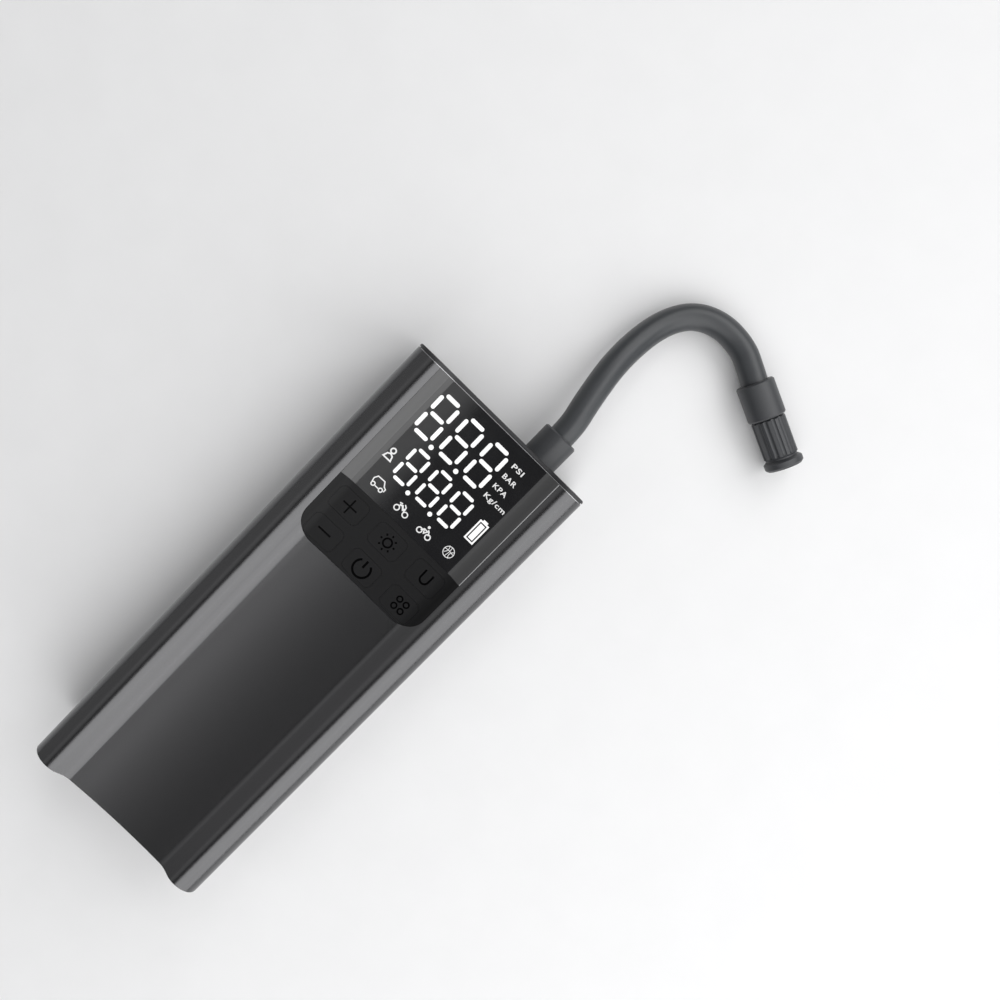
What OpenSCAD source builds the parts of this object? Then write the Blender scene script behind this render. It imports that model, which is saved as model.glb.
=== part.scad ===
// Portable tire inflator: extruded casing, geared piston pump, cells, keypad and a short hose.
// Millimetres. X across the body, Y towards the hose end, Z up out of the display face.
// The body lies on its back at z = 0, centred on the origin.

/* [Body] */
// Width of the body across its side walls
body_w = 72; // [70:1:78]
// Length of the body between its two ends
body_len = 185; // [184:1:195]
// Height of the two raised long edges above the back
body_h = 38; // [37:0.5:42]
// Thickness of the casing wall
wall = 1.8; // [1.6:0.1:2.2]
// Radius of the raised long edges
crest_r = 7; // [6:0.5:8]
// Radius of the hollow between a raised edge and the dish
slope_r = 7; // [5:0.5:9]
// Radius of the shallow dish across the front
dish_r = 235; // [180:5:400]
// Depth of the dish below the raised edges, at the middle
dish_depth = 4.4; // [3.6:0.1:4.6]
// Radius of the long edges at the back
back_r = 6; // [5:0.5:8]

/* [End caps] */
// Thickness of the top cap's rim that shows beyond the casing
rim_t = 1.2; // [1:0.1:2]
// Length of a cap's plug inside the casing
plug_t = 2.4; // [2:0.1:3]
// Gap round a cap's plug
plug_gap = 0.15; // [0.1:0.05:0.3]
// Size of the small step that takes the sharpness off the end of the casing and of the cap
cut_edge = 0.25; // [0.2:0.05:0.4]
// Width of the seam between the casing and the top cap
seam_w = 0.25; // [0.2:0.05:0.4]
// Depth of that seam
seam_depth = 0.5; // [0.3:0.1:0.8]
// Depth of the bottom cap inside the casing's end
bottom_inset = 0.8; // [0.4:0.1:1.5]
// Outer radius of the four screw channels along the casing
channel_r = 2.8; // [2.4:0.1:3]
// Distance of a channel's axis from the casing's outer surface
channel_in = 3.9; // [3.6:0.1:4.2]
// Diameter of the end cap screws
cap_screw_d = 2.5; // [2:0.1:2.8]
// Length of the end cap screws
cap_screw_len = 10; // [8:1:14]
// Width of one air slot in the bottom cap
vent_w = 1.6; // [1.2:0.1:2]
// Length of one air slot in the bottom cap
vent_len = 14; // [10:1:18]
// Spacing of the air slots
vent_pitch = 4; // [3.5:0.5:5]

/* [Front panel] */
// Width of the window and the keypad panel
panel_w = 52; // [51:0.5:53]
// Thickness of the window and the keypad panel
panel_t = 0.9; // [0.7:0.1:1]
// Length of the glossy window
window_len = 45.05; // [44:0.05:48]
// Length of the matte keypad panel
keypad_len = 23.7; // [23:0.1:26]
// Radius of the keypad panel's lower corners
panel_corner = 8; // [4:1:10]
// Gap round the panel in its recess
panel_gap = 0.08; // [0.05:0.01:0.15]

/* [Keys] */
// Width of a key
key_w = 12; // [10:0.5:13]
// Height of a key
key_h = 8.4; // [7:0.2:9]
// Corner radius of a key
key_corner = 2; // [1:0.5:3]
// Spacing of the key columns
key_pitch_x = 16.8; // [16.6:0.1:17.2]
// Spacing of the key rows
key_pitch_y = 11.9; // [11.6:0.1:12.4]
// Hairline gap round a key in the panel
key_gap = 0.08; // [0.07:0.01:0.2]
// Lip under the wall that keeps a key in
key_lip = 0.8; // [0.6:0.1:1]
// How far a key goes down
key_travel = 0.4; // [0.2:0.05:0.4]
// Side of a key switch
switch_w = 5.2; // [4:0.2:6]

/* [Display] */
// Width of the display module
module_w = 41; // [38:0.5:41]
// Length of the display module
module_len = 40; // [36:0.5:40]
// Thickness of the display module
module_t = 3.2; // [2.6:0.1:3.4]
// Thickness of every circuit board
board_t = 1.6; // [1.2:0.1:1.6]
// Air gap between the window and the module
module_gap = 0.2; // [0.1:0.05:0.3]

/* [Tray and cells] */
// Thickness of the inner tray's floor
tray_t = 1.6; // [1.4:0.1:1.8]
// Diameter of a cell
cell_d = 18.4; // [18.2:0.1:18.6]
// Length of a cell
cell_len = 65; // [64.8:0.1:65.4]
// Spacing of the cells
cell_pitch = 19; // [18.8:0.1:19.2]
// Gap between a cell and its cradle
cell_gap = 0.15; // [0.1:0.05:0.2]
// Thickness of the nickel tabs
tab_t = 0.3; // [0.2:0.1:0.4]

/* [Motor] */
// Diameter of the motor can
motor_d = 24.4; // [23.6:0.1:24.6]
// Length of the motor can
motor_len = 25.5; // [24:0.5:25.5]
// Thickness of the can and of the magnets' seat
can_t = 1; // [0.8:0.1:1.2]
// Thickness of a magnet
magnet_t = 2.2; // [1.8:0.1:2.6]
// Diameter of the motor shaft
shaft_d = 2.3; // [2:0.1:2.5]
// Diameter of the armature
armature_d = 17.4; // [16.6:0.1:17.4]
// Number of armature poles
poles = 5; // [3:2:7]

/* [Gears] */
// Tooth size of the gear pair: pitch diameter over teeth
gear_module = 0.5; // [0.49:0.01:0.5]
// Teeth on the motor pinion
pinion_teeth = 12; // [11:1:12]
// Teeth on the drive gear
gear_teeth = 48; // [46:1:48]
// Pressure angle of the teeth
pressure_angle = 25; // [22:1:25]
// Play between meshing teeth along the pitch circle
backlash = 0.12; // [0.1:0.01:0.2]
// Width of the drive gear
gear_w = 5; // [4:0.2:5]

/* [Pump] */
// Diameter of the cylinder bore
bore_d = 18; // [17.6:0.1:18]
// Outer diameter of the cylinder
cylinder_d = 21; // [20.6:0.1:21.2]
// Crank radius, half of the stroke
crank_r = 3; // [2.5:0.1:3]
// Length of the connecting rod between its pins
rod_len = 24; // [23.6:0.2:26]
// Diameter of the crankshaft
crankshaft_d = 4; // [3.6:0.1:4]
// Diameter of the crank pin
crank_pin_d = 4; // [3.6:0.1:4]
// Diameter of the wrist pin
wrist_pin_d = 3; // [2.6:0.1:3]
// Width of the connecting rod
rod_w = 6; // [5.6:0.2:6]
// Radial running clearance of pins, shafts and piston
run_gap = 0.05; // [0.03:0.01:0.08]
// Wall of the piston skirt
skirt_t = 1.55; // [1.4:0.05:1.6]
// Thickness of the piston crown
crown_t = 2; // [1.8:0.1:2.6]
// Thickness of the frame's motor plate
motor_plate_t = 6.5; // [6.3:0.1:6.6]
// Thickness of the frame's cylinder plate
cylinder_plate_t = 3.5; // [3:0.1:3.8]
// Length of the cylinder head
head_len = 8; // [7:0.5:10]
// Width of the cylinder head and flange
head_w = 22; // [21.6:0.2:22.2]
// Diameter of the head screws
head_screw_d = 2.5; // [2.2:0.1:2.6]

/* [Air outlet] */
// Inner diameter of the outlet tube
tube_bore_d = 4.5; // [4:0.1:4.6]
// Wall of the outlet tube
tube_wall = 1.3; // [1:0.1:1.5]
// Diameter of the outlet fitting's barrel
barrel_d = 8; // [7.6:0.1:8.2]
// Width across the flats of the outlet fitting
fitting_flats = 11; // [10:0.5:12]

/* [Electronics] */
// Width of the main board
main_board_w = 30; // [29:0.5:31]
// Length of the main board behind the pressure sensor's middle
main_board_back = 24.5; // [24:0.5:26]
// Height of the main board above the tray
main_board_lift = 5.6; // [5:0.1:6.5]
// Width of the charging port
usb_w = 8.94; // [8.9:0.01:9]
// Height of the charging port
usb_h = 3.2; // [3.1:0.01:3.3]
// Distance of the charging port from the middle
usb_x = 20; // [18:0.5:22]
// Diameter of the lamp lens
lamp_d = 8; // [7:0.5:9]

/* [Hose] */
// Distance of the hose and the pump from the middle
pump_x = 17.2; // [17:0.1:17.4]
// Diameter of the hose
hose_d = 9.2; // [8.6:0.1:9.2]
// Diameter of the collar at the hose's root
collar_d = 13; // [12.4:0.1:13.4]
// Length of that collar
collar_len = 10.2; // [9.8:0.1:12]
// How far the hose goes into its collar and its ferrule
hose_seat = 3; // [2:0.5:3.4]

/* [Chuck] */
// Diameter of the ferrule on the hose's end
ferrule_d = 12.9; // [12.4:0.1:13]
// Length of the ferrule
ferrule_len = 12.7; // [12:0.1:14]
// Diameter of the fluted nozzle
nozzle_d = 11.6; // [11:0.1:12]
// Length of the nozzle with its end flange
nozzle_len = 17.4; // [16.5:0.1:18]
// Diameter of the nozzle's end flange
flange_d = 13.1; // [12.6:0.1:13.1]
// Thickness of the nozzle's end flange
flange_t = 3.4; // [2.8:0.1:4]
// Number of flutes round the nozzle
flutes = 14; // [10:1:18]
// Diameter of the bore that goes over a tire valve
valve_bore_d = 7.8; // [7.7:0.05:8]
// Length of that bore
valve_bore_len = 8; // [7:0.5:9]

/* [Hidden] */
$fn = 72;

// Small clearances that several pieces share
eps = 0.05;
slack = 0.3;
arc_overlap = 0.0005;

// Body profile: centres of the crest, slope and dish arcs, and their tangent points
half_w = body_w/2;
half_l = body_len/2;
crest = [half_w - crest_r, body_h - crest_r];
dish_z = body_h - dish_depth;
dish_c = [0, dish_z + dish_r];
crest_reach = crest_r + slope_r;
dish_reach = dish_r - slope_r;
slope_c = meet(crest, crest_reach, dish_c, dish_reach);
casing_y1 = half_l - rim_t;
inner_z = dish_z - wall;

// Where a circle round a and one round b cross, on the side towards the middle
function meet(a, ra, b, rb) =
    let (d = norm(b - a), m = (ra*ra - rb*rb + d*d)/(2*d), h = sqrt(ra*ra - m*m), u = (b - a)/d)
    a + m*u + h*[-u[1], u[0]];
function crest_tangent(i) = crest + (crest_r - i)/crest_reach*(slope_c - crest);
function dish_tangent(i) = dish_c + (dish_r + i)/dish_reach*(slope_c - dish_c);
function flip(p) = [-p[0], p[1]];
// Height of the dish surface, i inside the casing, at x
function dish_at(x, i) = dish_c[1] - sqrt((dish_r + i)*(dish_r + i) - x*x);

// Front panel and keys
panel_y1 = casing_y1 - cut_edge;
window_y0 = panel_y1 - window_len;
panel_y0 = window_y0 - keypad_len;
panel_floor_z = 20;
key_row_top = window_y0 - 6.5;
key_rows = [key_row_top, key_row_top - key_pitch_y];
wall_gap = slack;
lip_t = 0.5;
lip_z = inner_z - slack - lip_t;

// Display stack, from the window down
module_z1 = dish_z - panel_t - module_gap;
board_z1 = module_z1 - module_t;
well_h = [16.6, 11.6];
well_w = 8.6;
well_pitch = 10.7;
board_z0 = board_z1 - board_t;
module_y1 = panel_y1 - 4;
module_y0 = module_y1 - module_len;
display_board_w = 53;
display_board_y0 = panel_y0 + 0.8;
display_board_y1 = casing_y1 - plug_t - slack;
rail_x0 = key_pitch_x + key_w/2 + key_lip + 0.4;
rail_x1 = 27;
bar_t = 1.1;
opening_ledge = 0.4;

// Tray
tray_z1 = wall + tray_t;
plug_bottom_y = -half_l + bottom_inset + plug_t;
tray_y0 = plug_bottom_y + slack;
plug_top_y = casing_y1 - plug_t;
tray_y1 = plug_top_y - slack;
channel_y = [plug_bottom_y, plug_top_y];
channel_step = (crest_r - channel_in)/sqrt(2);
back_step = (back_r - channel_in)/sqrt(2);
channels = [for (s = [-1, 1]) each [
    [s*(crest[0] + channel_step), crest[1] + channel_step],
    [s*(half_w - back_r + back_step), back_r - back_step]]];
channel_bore = cap_screw_d/2;
tray_w = 2*(half_w - back_r + back_step - channel_r) - 1.4;

// Cells
cell_r = cell_d/2;
cell_z = tray_z1 + cell_r + cell_gap;
cell_y0 = tray_y0 + 1.2;
cell_y1 = cell_y0 + cell_len;
cell_x = [-cell_pitch, 0, cell_pitch];
cradle_y = [cell_y0 + 8, cell_y1 - 14];
cradle_t = 6;
cradle_h = 5;
clamp_z0 = cell_z + 4;
clamp_z1 = cell_z + cell_r + cell_gap + 1;
clamp_leg = 1.8;
clamp_w = 2*(cell_pitch + cell_r + cell_gap + clamp_leg) + 0.6;
shelf_z0 = back_r - back_step + channel_r + 0.4;
charge_board_y0 = cradle_y[0] + 4;
charge_board_len = 34;
charge_board_w = 40;

// Gear train: pitch, base, tip and root radii
gear_pr = gear_module*gear_teeth/2;
pinion_pr = gear_module*pinion_teeth/2;
gear_tip_r = gear_pr + gear_module;
axis_gap = gear_pr + pinion_pr;
drive_z = wall + 1.7 + gear_tip_r;
motor_r = motor_d/2;
motor_y = cell_y1 + 3.5 + motor_r;
gear_y = motor_y + axis_gap;
motor_face_x = -2.5;
motor_x0 = motor_face_x - motor_len;
endbell_t = 2.5;
endbell_r = drive_z - (back_r - back_step + channel_r) - slack;
boss_r = 3.2;
boss_len = 1.4;
commutator_r = 3;
plate_x1 = motor_face_x + motor_plate_t;
gear_x0 = plate_x1 + 1.2;
gear_x1 = gear_x0 + gear_w;
web_t = 2;
web_x1 = gear_x1 + web_t;
bearing_r = 4.5;
bearing_w = 2.6;
bearing_x = [motor_face_x + 0.5, plate_x1 - bearing_w - 0.2];

// Pump stations along Y
rod_x0 = pump_x - rod_w/2;
rod_x1 = pump_x + rod_w/2;
crank_y = gear_y + crank_r;
wrist_y = crank_y + rod_len;
stroke = 2*crank_r;
bore_r = bore_d/2;
piston_r = bore_r - run_gap;
cylinder_r = cylinder_d/2;
big_eye_r = 4.6;
bush_r = 3.2;
small_eye_r = 3.4;
skirt_r = piston_r - skirt_t;
ear_gap = 0.3;
pin_reach = 4.7;
ear_x = pin_reach + ear_gap;
piston_y0 = gear_y + gear_tip_r + 1 + stroke;
crown_y0 = wrist_y + stroke + small_eye_r + 0.4;
piston_y1 = crown_y0 + crown_t;
plate_y0 = gear_y + gear_tip_r + 1.5;
plate_y1 = plate_y0 + cylinder_plate_t;
cylinder_y1 = piston_y1 + 1.2;
flange_y1 = plate_y1 + 2;
valve_plate_t = 1;
head_y0 = cylinder_y1 + valve_plate_t;
head_y1 = head_y0 + head_len;
head_screw_at = head_w/2 - 2.2;
screw_head_h = 2;
frame_z1 = board_z0 - slack;
frame_x1 = pump_x + head_w/2;
seal_w = 1.6;
seal_depth = 1.3;
flap_t = 0.4;
flap_r = 4;
port_r = 1.6;
reed_t = 0.3;

// Air outlet stations along Y
barb_r = tube_bore_d/2 - eps;
tube_r = tube_bore_d/2 + tube_wall;
hex_t = 4;
barb_len = 4.6;
hex_y0 = plug_top_y - hex_t;
tube_y0 = head_y1 + 0.3;
tube_y1 = hex_y0 - 0.3;
barrel_r = barrel_d/2;
barrel_y1 = half_l;
mouth_r = 3;
mouth_len = 5;
air_r = 1.4;

// Electronics
main_board_x1 = 0;
main_board_x0 = main_board_x1 - main_board_w;
main_board_y1 = plug_top_y - 0.5;
main_board_z0 = tray_z1 + main_board_lift;
main_board_z1 = main_board_z0 + board_t;
usb_y1 = half_l - 0.3;
usb_len = 7.4;
sensor_y = head_y0 + 4;
main_board_y0 = sensor_y - main_board_back;
power_plug_y = main_board_y0 + 2.5;
motor_plug_y = main_board_y0 + 10;
sensor_x = -8;
sensor_w = 7;
side_barb_r = 1.4;
side_barb_x = pump_x - head_w/2 - 4;
lamp_x = -4;
lamp_z = 17.5;
lamp_r = lamp_d/2;
lamp_wall = 1.1;
lamp_y0 = plug_top_y - 3.4;
wire_r = 0.75;

// Hose route: points chosen along the hose, from the collar to the ferrule
collar_y1 = half_l + collar_len;
hose_r = hose_d/2;
seat_r = hose_r + 0.15;
chuck_angle = -24;
chuck_at = [51.5, 161.2, 6.6];
chuck_dir = [cos(chuck_angle), sin(chuck_angle), 0];
hose_route = [
    [pump_x, collar_y1, drive_z],
    [16.8, 109, 16],
    [15.4, 116, 15.4],
    [14.2, 123, 14.5],
    [13.3, 130, 13.2],
    [13.1, 137, 11.4],
    [13.6, 144, 9.3],
    [14.8, 150.6, 7.4],
    [17, 156.6, 6],
    [20.4, 161.6, 5.2],
    [25, 165, 4.9],
    [30.6, 166.8, 4.9],
    [36.3, 167, 5],
    [42, 165.9, 5.5],
    [46.9, 163.6, 6.1],
    chuck_at];
hose_sides = 12;
hose_steps = 3;

// Chuck stations along its own axis, from the ferrule's root
ferrule_r = ferrule_d/2;
nozzle_r = nozzle_d/2;
nozzle_at = ferrule_len + 0.3;
chuck_end = nozzle_at + nozzle_len;
bore_at = chuck_end - valve_bore_len;
seal_at = bore_at - 2.2;
seal_seat_r = valve_bore_d/2 + 0.4;
spigot_r = 3.6;
spigot_at = hose_seat + 3.2;
pin_r = 1.2;
pin_way_r = 1.7;
flute_r = 1;
flute_depth = 0.4;

// ---- helpers ----

// Extrude a profile drawn in X and Z along Y, from y0 to y1
module along_y(y0, y1) {
    translate([0, y1, 0]) rotate([90, 0, 0]) linear_extrude(y1 - y0) children();
}

// Extrude a profile drawn in Y and Z along X, from x0 to x1
module along_x(x0, x1) {
    translate([x0, 0, 0]) rotate([90, 0, 90]) linear_extrude(x1 - x0) children();
}

// Round bar along X, Y or Z
module bar_x(x0, x1, y, z, r) {
    translate([x0, y, z]) rotate([0, 90, 0]) cylinder(h = x1 - x0, r = r);
}
module bar_y(y0, y1, x, z, r) {
    translate([x, y0, z]) rotate([-90, 0, 0]) cylinder(h = y1 - y0, r = r);
}
module bar_z(z0, z1, x, y, r) {
    translate([x, y, z0]) cylinder(h = z1 - z0, r = r);
}

// Block between two corners
module block(a, b) {
    translate(a) cube(b - a);
}

// Rectangle with round corners, centred
module round_rect(w, h, r) {
    square([w - 2*r, h], center = true);
    square([w, h - 2*r], center = true);
    for (x = [-1, 1], y = [-1, 1])
        translate([x*(w/2 - r), y*(h/2 - r)]) circle(r = r);
}

// Body profile in X and Z, drawn i inside the outer surface
module outline(i = 0) {
    p = crest_tangent(i);
    q = dish_tangent(i);
    difference() {
        union() {
            translate([-half_w + i, back_r]) square([body_w - 2*i, crest[1] - back_r]);
            translate([-half_w + back_r, i]) square([body_w - 2*back_r, crest[1] - i]);
            for (s = [-1, 1]) {
                translate([s*(half_w - back_r), back_r]) circle(r = back_r - i);
                translate([s*crest[0], crest[1]]) circle(r = crest_r - i);
            }
            polygon([crest - [0, 1], p, q, flip(q), flip(p), flip(crest) - [0, 1]]);
        }
        for (s = [-1, 1])
            translate([s*slope_c[0], slope_c[1]]) circle(r = slope_r + i + arc_overlap);
        intersection() {
            translate(dish_c) circle(r = dish_r + i, $fn = 900);
            translate([-q[0], crest[1]]) square([2*q[0], dish_depth + crest_r]);
        }
    }
}

// Points along an arc round c, from angle a0 to a1
function arc(c, r, a0, a1, steps = 12) =
    [for (k = [0:steps]) c + r*[cos(a0 + (a1 - a0)*k/steps), sin(a0 + (a1 - a0)*k/steps)]];

// Window and keypad area seen from the front, drawn gap inside its recess; it runs past the hose end
module panel_plan(gap = 0) {
    x = panel_w/2 - gap - panel_corner;
    y = panel_y0 + gap + panel_corner;
    end = half_l + 3;
    polygon(concat([[x + panel_corner, end], [-x - panel_corner, end]],
        arc([-x, y], panel_corner, 180, 270), arc([x, y], panel_corner, 270, 360)));
}

// Extrude upwards from height z through the front
module upwards_from(z) {
    translate([0, 0, z]) linear_extrude(body_h + 5 - z) children();
}

// The panel's recess, or the panel itself, down to depth i below the outer surface
module panel_space(gap, i) {
    difference() {
        upwards_from(panel_floor_z) panel_plan(gap);
        along_y(panel_y0 - 5, half_l + 25) outline(i);
    }
}

// Panel skin between y0 and y1, flush with the casing
module panel_skin(y0, y1) {
    intersection() {
        panel_space(panel_gap, panel_t);
        along_y(y0, y1) outline();
    }
}

// One of the six key outlines, grown by g
module key_plan(column, row, g = 0) {
    translate([(column - 1)*key_pitch_x, key_rows[row]])
        round_rect(key_w + 2*g, key_h + 2*g, key_corner + g);
}

module all_key_plans(g = 0) {
    for (column = [0:2], row = [0:1]) key_plan(column, row, g);
}

// Involute gear outline; turn 0 puts a tooth along the first axis
function inv(a) = tan(a)*180/PI - a;
function tooth_half(teeth, r) =
    let (pr = gear_module*teeth/2, base = pr*cos(pressure_angle))
    90/teeth - backlash/(4*pr)*180/PI + inv(pressure_angle) - inv(acos(min(1, base/r)));
function polar(r, a) = r*[cos(a), sin(a)];
function gear_points(teeth, turn) =
    let (pr = gear_module*teeth/2, base = pr*cos(pressure_angle), tip = pr + gear_module,
        root = pr - 1.25*gear_module, low = max(base, root), steps = 4,
        flank = [for (k = [0:steps]) low + (tip - low)*k/steps])
    [for (n = [0:teeth - 1]) let (a = turn + 360*n/teeth) each concat(
        root < base ? [polar(root, a - tooth_half(teeth, low))] : [],
        [for (r = flank) polar(r, a - tooth_half(teeth, r))],
        [for (k = [steps:-1:0]) polar(flank[k], a + tooth_half(teeth, flank[k]))],
        root < base ? [polar(root, a + tooth_half(teeth, low))] : [])];

// Screw along Y with a countersunk head whose face is at y, driving towards dir
module sunk_screw(x, z, y, dir, d, length) {
    head_h = 0.6*d;
    translate([x, y, z]) rotate([-90*dir, 0, 0]) difference() {
        union() {
            cylinder(h = head_h, r1 = d*0.9, r2 = d/2);
            cylinder(h = length, r = d/2);
        }
        translate([0, 0, -1]) cylinder(h = 1.7, r = d*0.4, $fn = 6);
    }
}

// Insulated wire through a list of points
module wire(points) {
    for (k = [0:len(points) - 2]) {
        step = points[k + 1] - points[k];
        translate(points[k])
            rotate([0, acos(step[2]/norm(step)), atan2(step[1], step[0])])
                cylinder(h = norm(step), r = wire_r, $fn = 24);
        if (k > 0) translate(points[k]) sphere(r = wire_r + 0.1, $fn = 24);
    }
}

// ---- casing and caps ----

module casing() color([0.20, 0.20, 0.21]) difference() {
    union() {
        along_y(-half_l, casing_y1 - cut_edge) outline();
        along_y(0, casing_y1) outline(cut_edge);
    }
    difference() {
        along_y(-half_l - 1, half_l) outline(wall);
        for (c = channels) bar_y(channel_y[0], channel_y[1], c[0], c[1], channel_r);
    }
    for (c = channels) bar_y(-half_l - 1, half_l, c[0], c[1], channel_bore);
    panel_space(0, panel_t);
    upwards_from(panel_floor_z) all_key_plans(wall_gap);
    block([-module_w/2 - opening_ledge, module_y0 - opening_ledge, panel_floor_z],
        [module_w/2 + opening_ledge, module_y1 + opening_ledge, body_h + 5]);
}

module top_cap() color([0.13, 0.13, 0.14]) difference() {
    union() {
        along_y(casing_y1, half_l - cut_edge) outline(seam_depth);
        along_y(casing_y1 + seam_w, half_l - cut_edge) outline();
        along_y(half_l - 0.4, half_l) outline(cut_edge);
        along_y(plug_top_y, casing_y1 + 0.1) outline(wall + plug_gap);
        bar_y(lamp_y0, plug_top_y + 0.1, lamp_x, lamp_z, lamp_r + lamp_wall);
    }
    for (c = channels) {
        bar_y(plug_top_y - 1, half_l + 1, c[0], c[1], cap_screw_d/2 + 0.1);
        translate([c[0], half_l + 0.01, c[1]]) rotate([90, 0, 0])
            cylinder(h = 0.6*cap_screw_d + 0.1, r1 = 0.9*cap_screw_d + 0.1, r2 = cap_screw_d/2 + 0.1);
    }
    bar_y(lamp_y0 - 1, half_l + 1, lamp_x, lamp_z, lamp_r + eps);
    bar_y(plug_top_y - 1, half_l + 1, pump_x, drive_z, barrel_r + 0.1);
    usb_hole();
}

// Stadium-shaped opening for the charging port
module usb_hole() {
    along_y(plug_top_y - 1, half_l + 1) translate([-usb_x, main_board_z1 + usb_h/2])
        round_rect(usb_w + 0.3, usb_h + 0.3, usb_h/2 - 0.1);
}

module bottom_cap() color([0.13, 0.13, 0.14]) difference() {
    y0 = -half_l + bottom_inset;
    along_y(y0, plug_bottom_y) outline(wall + plug_gap);
    for (c = channels) {
        bar_y(y0 - 1, plug_bottom_y + 1, c[0], c[1], cap_screw_d/2 + 0.1);
        translate([c[0], y0 - 0.01, c[1]]) rotate([-90, 0, 0])
            cylinder(h = 0.6*cap_screw_d + 0.1, r1 = 0.9*cap_screw_d + 0.1, r2 = cap_screw_d/2 + 0.1);
    }
    along_y(y0 - 1, plug_bottom_y + 1)
        for (k = [-4:4]) translate([k*vent_pitch, dish_z/2]) round_rect(vent_w, vent_len, vent_w/2 - 0.05);
}

module end_cap_screws() color([0.55, 0.55, 0.57]) for (c = channels) {
    sunk_screw(c[0], c[1], half_l, -1, cap_screw_d, cap_screw_len);
    sunk_screw(c[0], c[1], -half_l + bottom_inset, 1, cap_screw_d, cap_screw_len);
}

// ---- inner tray ----

module inner_tray() color([0.30, 0.31, 0.32]) {
    difference() {
        union() {
            block([-tray_w/2, tray_y0, wall], [tray_w/2, tray_y1, tray_z1]);
            for (y = cradle_y)
                block([-tray_w/2, y, wall], [tray_w/2, y + cradle_t, tray_z1 + cradle_h]);
            for (y = cradle_y)
                block([-clamp_w/2, y, shelf_z0], [clamp_w/2, y + cradle_t, tray_z1 + cradle_h]);
            block([motor_x0 + 4, motor_y - 9, wall], [motor_face_x - 4, motor_y + 9, tray_z1 + 4]);
            for (x = [main_board_x0 + 4, main_board_x1 - 3], y = [main_board_y0 + 4, main_board_y1 - 4])
                bar_z(wall, main_board_z0, x, y, 2.5);
        }
        for (x = cell_x) bar_y(cell_y0 - 2, cell_y1 + 2, x, cell_z, cell_r + cell_gap);
        bar_x(motor_x0, motor_face_x, motor_y, drive_z, motor_r + eps);
        block([plate_x1, gear_y - 10, 0], [rod_x1 + 3, plate_y0 - slack, body_h]);
    }
}

// ---- front panel, keys and display ----

module display_window() color([0.05, 0.05, 0.055]) panel_skin(window_y0, panel_y1);

module keypad_panel() color([0.10, 0.10, 0.11]) difference() {
    panel_skin(panel_y0 - 1, window_y0 - eps);
    upwards_from(panel_floor_z) all_key_plans(key_gap);
}

// Key with its crowned top, its body through the wall and the lip under it
module key(column, row) color([0.11, 0.11, 0.12]) {
    intersection() {
        translate([0, 0, lip_z]) linear_extrude(body_h) key_plan(column, row);
        along_y(panel_y0, panel_y1) outline();
    }
    translate([0, 0, lip_z]) linear_extrude(lip_t) key_plan(column, row, key_lip);
}

module key_plus() key(0, 0);
module key_minus() key(0, 1);
module key_light() key(1, 0);
module key_power() key(1, 1);
module key_unit() key(2, 0);
module key_mode() key(2, 1);

// Flat dome switches: a case and a round plunger that stops short of the key
module key_switches() color([0.62, 0.62, 0.60]) for (column = [-1:1], y = key_rows) {
    x = column*key_pitch_x;
    block([x - switch_w/2, y - switch_w/2, board_z1], [x + switch_w/2, y + switch_w/2, board_z1 + 0.8]);
    bar_z(board_z1 + 0.7, lip_z - key_travel - eps, x, y, 1.5);
}

module display_module() color([0.85, 0.85, 0.84]) difference() {
    block([-module_w/2, module_y0, board_z1], [module_w/2, module_y1, module_z1]);
    for (row = [[well_h[0], module_y1 - 3 - well_h[0]], [well_h[1], module_y0 + 10]], k = [0:2])
        translate([(k - 1)*well_pitch - 5, row[1], module_z1 - 0.6])
            linear_extrude(2) translate([0, row[0]/2]) round_rect(well_w, row[0], 0.8);
}

module display_board() color([0.06, 0.22, 0.12]) difference() {
    block([-display_board_w/2, display_board_y0, board_z0], [display_board_w/2, display_board_y1, board_z1]);
    for (x = [-1, 1], y = [display_board_y0 + 12, display_board_y1 - 3])
        bar_z(board_z0 - 1, board_z1 + 1, x*(rail_x0 + rail_x1)/2, y, 0.8);
}

// Frame bonded under the front wall; the board hangs from it
module display_carrier() color([0.24, 0.25, 0.26]) difference() {
    intersection() {
        along_y(panel_y0 - bar_t, casing_y1 - plug_t - slack) difference() {
            outline(wall + eps);
            translate([-half_w, 0]) square([body_w, board_z1]);
        }
        block([-rail_x1, -half_l, 0], [rail_x1, half_l, body_h]);
    }
    block([-rail_x0, panel_y0, 0], [rail_x0, window_y0 - 0.6, body_h]);
    block([-module_w/2 - opening_ledge, module_y0 - opening_ledge, 0],
        [module_w/2 + opening_ledge, module_y1 + opening_ledge, body_h]);
    for (c = channels) bar_y(-half_l, half_l, c[0], c[1], channel_r + 0.2);
}

// ---- electronics ----

module main_board() color([0.06, 0.24, 0.13]) {
    x0 = main_board_x0;
    z1 = main_board_z1;
    difference() {
        block([x0, main_board_y0, main_board_z0], [main_board_x1, main_board_y1, z1]);
        for (x = [x0 + 4, main_board_x1 - 3], y = [main_board_y0 + 4, main_board_y1 - 4])
            bar_z(main_board_z0 - 1, z1 + 1, x, y, 0.9);
    }
    block([x0 + 5, main_board_y0 + 22, z1], [x0 + 14, main_board_y0 + 31, z1 + 1.2]);
    block([x0 + 18, main_board_y0 + 30, z1], [x0 + 24, main_board_y0 + 36, z1 + 3]);
    bar_z(z1, z1 + 9, x0 + 24, main_board_y0 + 14, 4);
    block([x0 + 3, motor_plug_y, z1], [x0 + 12, motor_plug_y + 4, z1 + 4]);
    block([x0 + 14, power_plug_y, z1], [x0 + 23, power_plug_y + 4, z1 + 4]);
}

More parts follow.
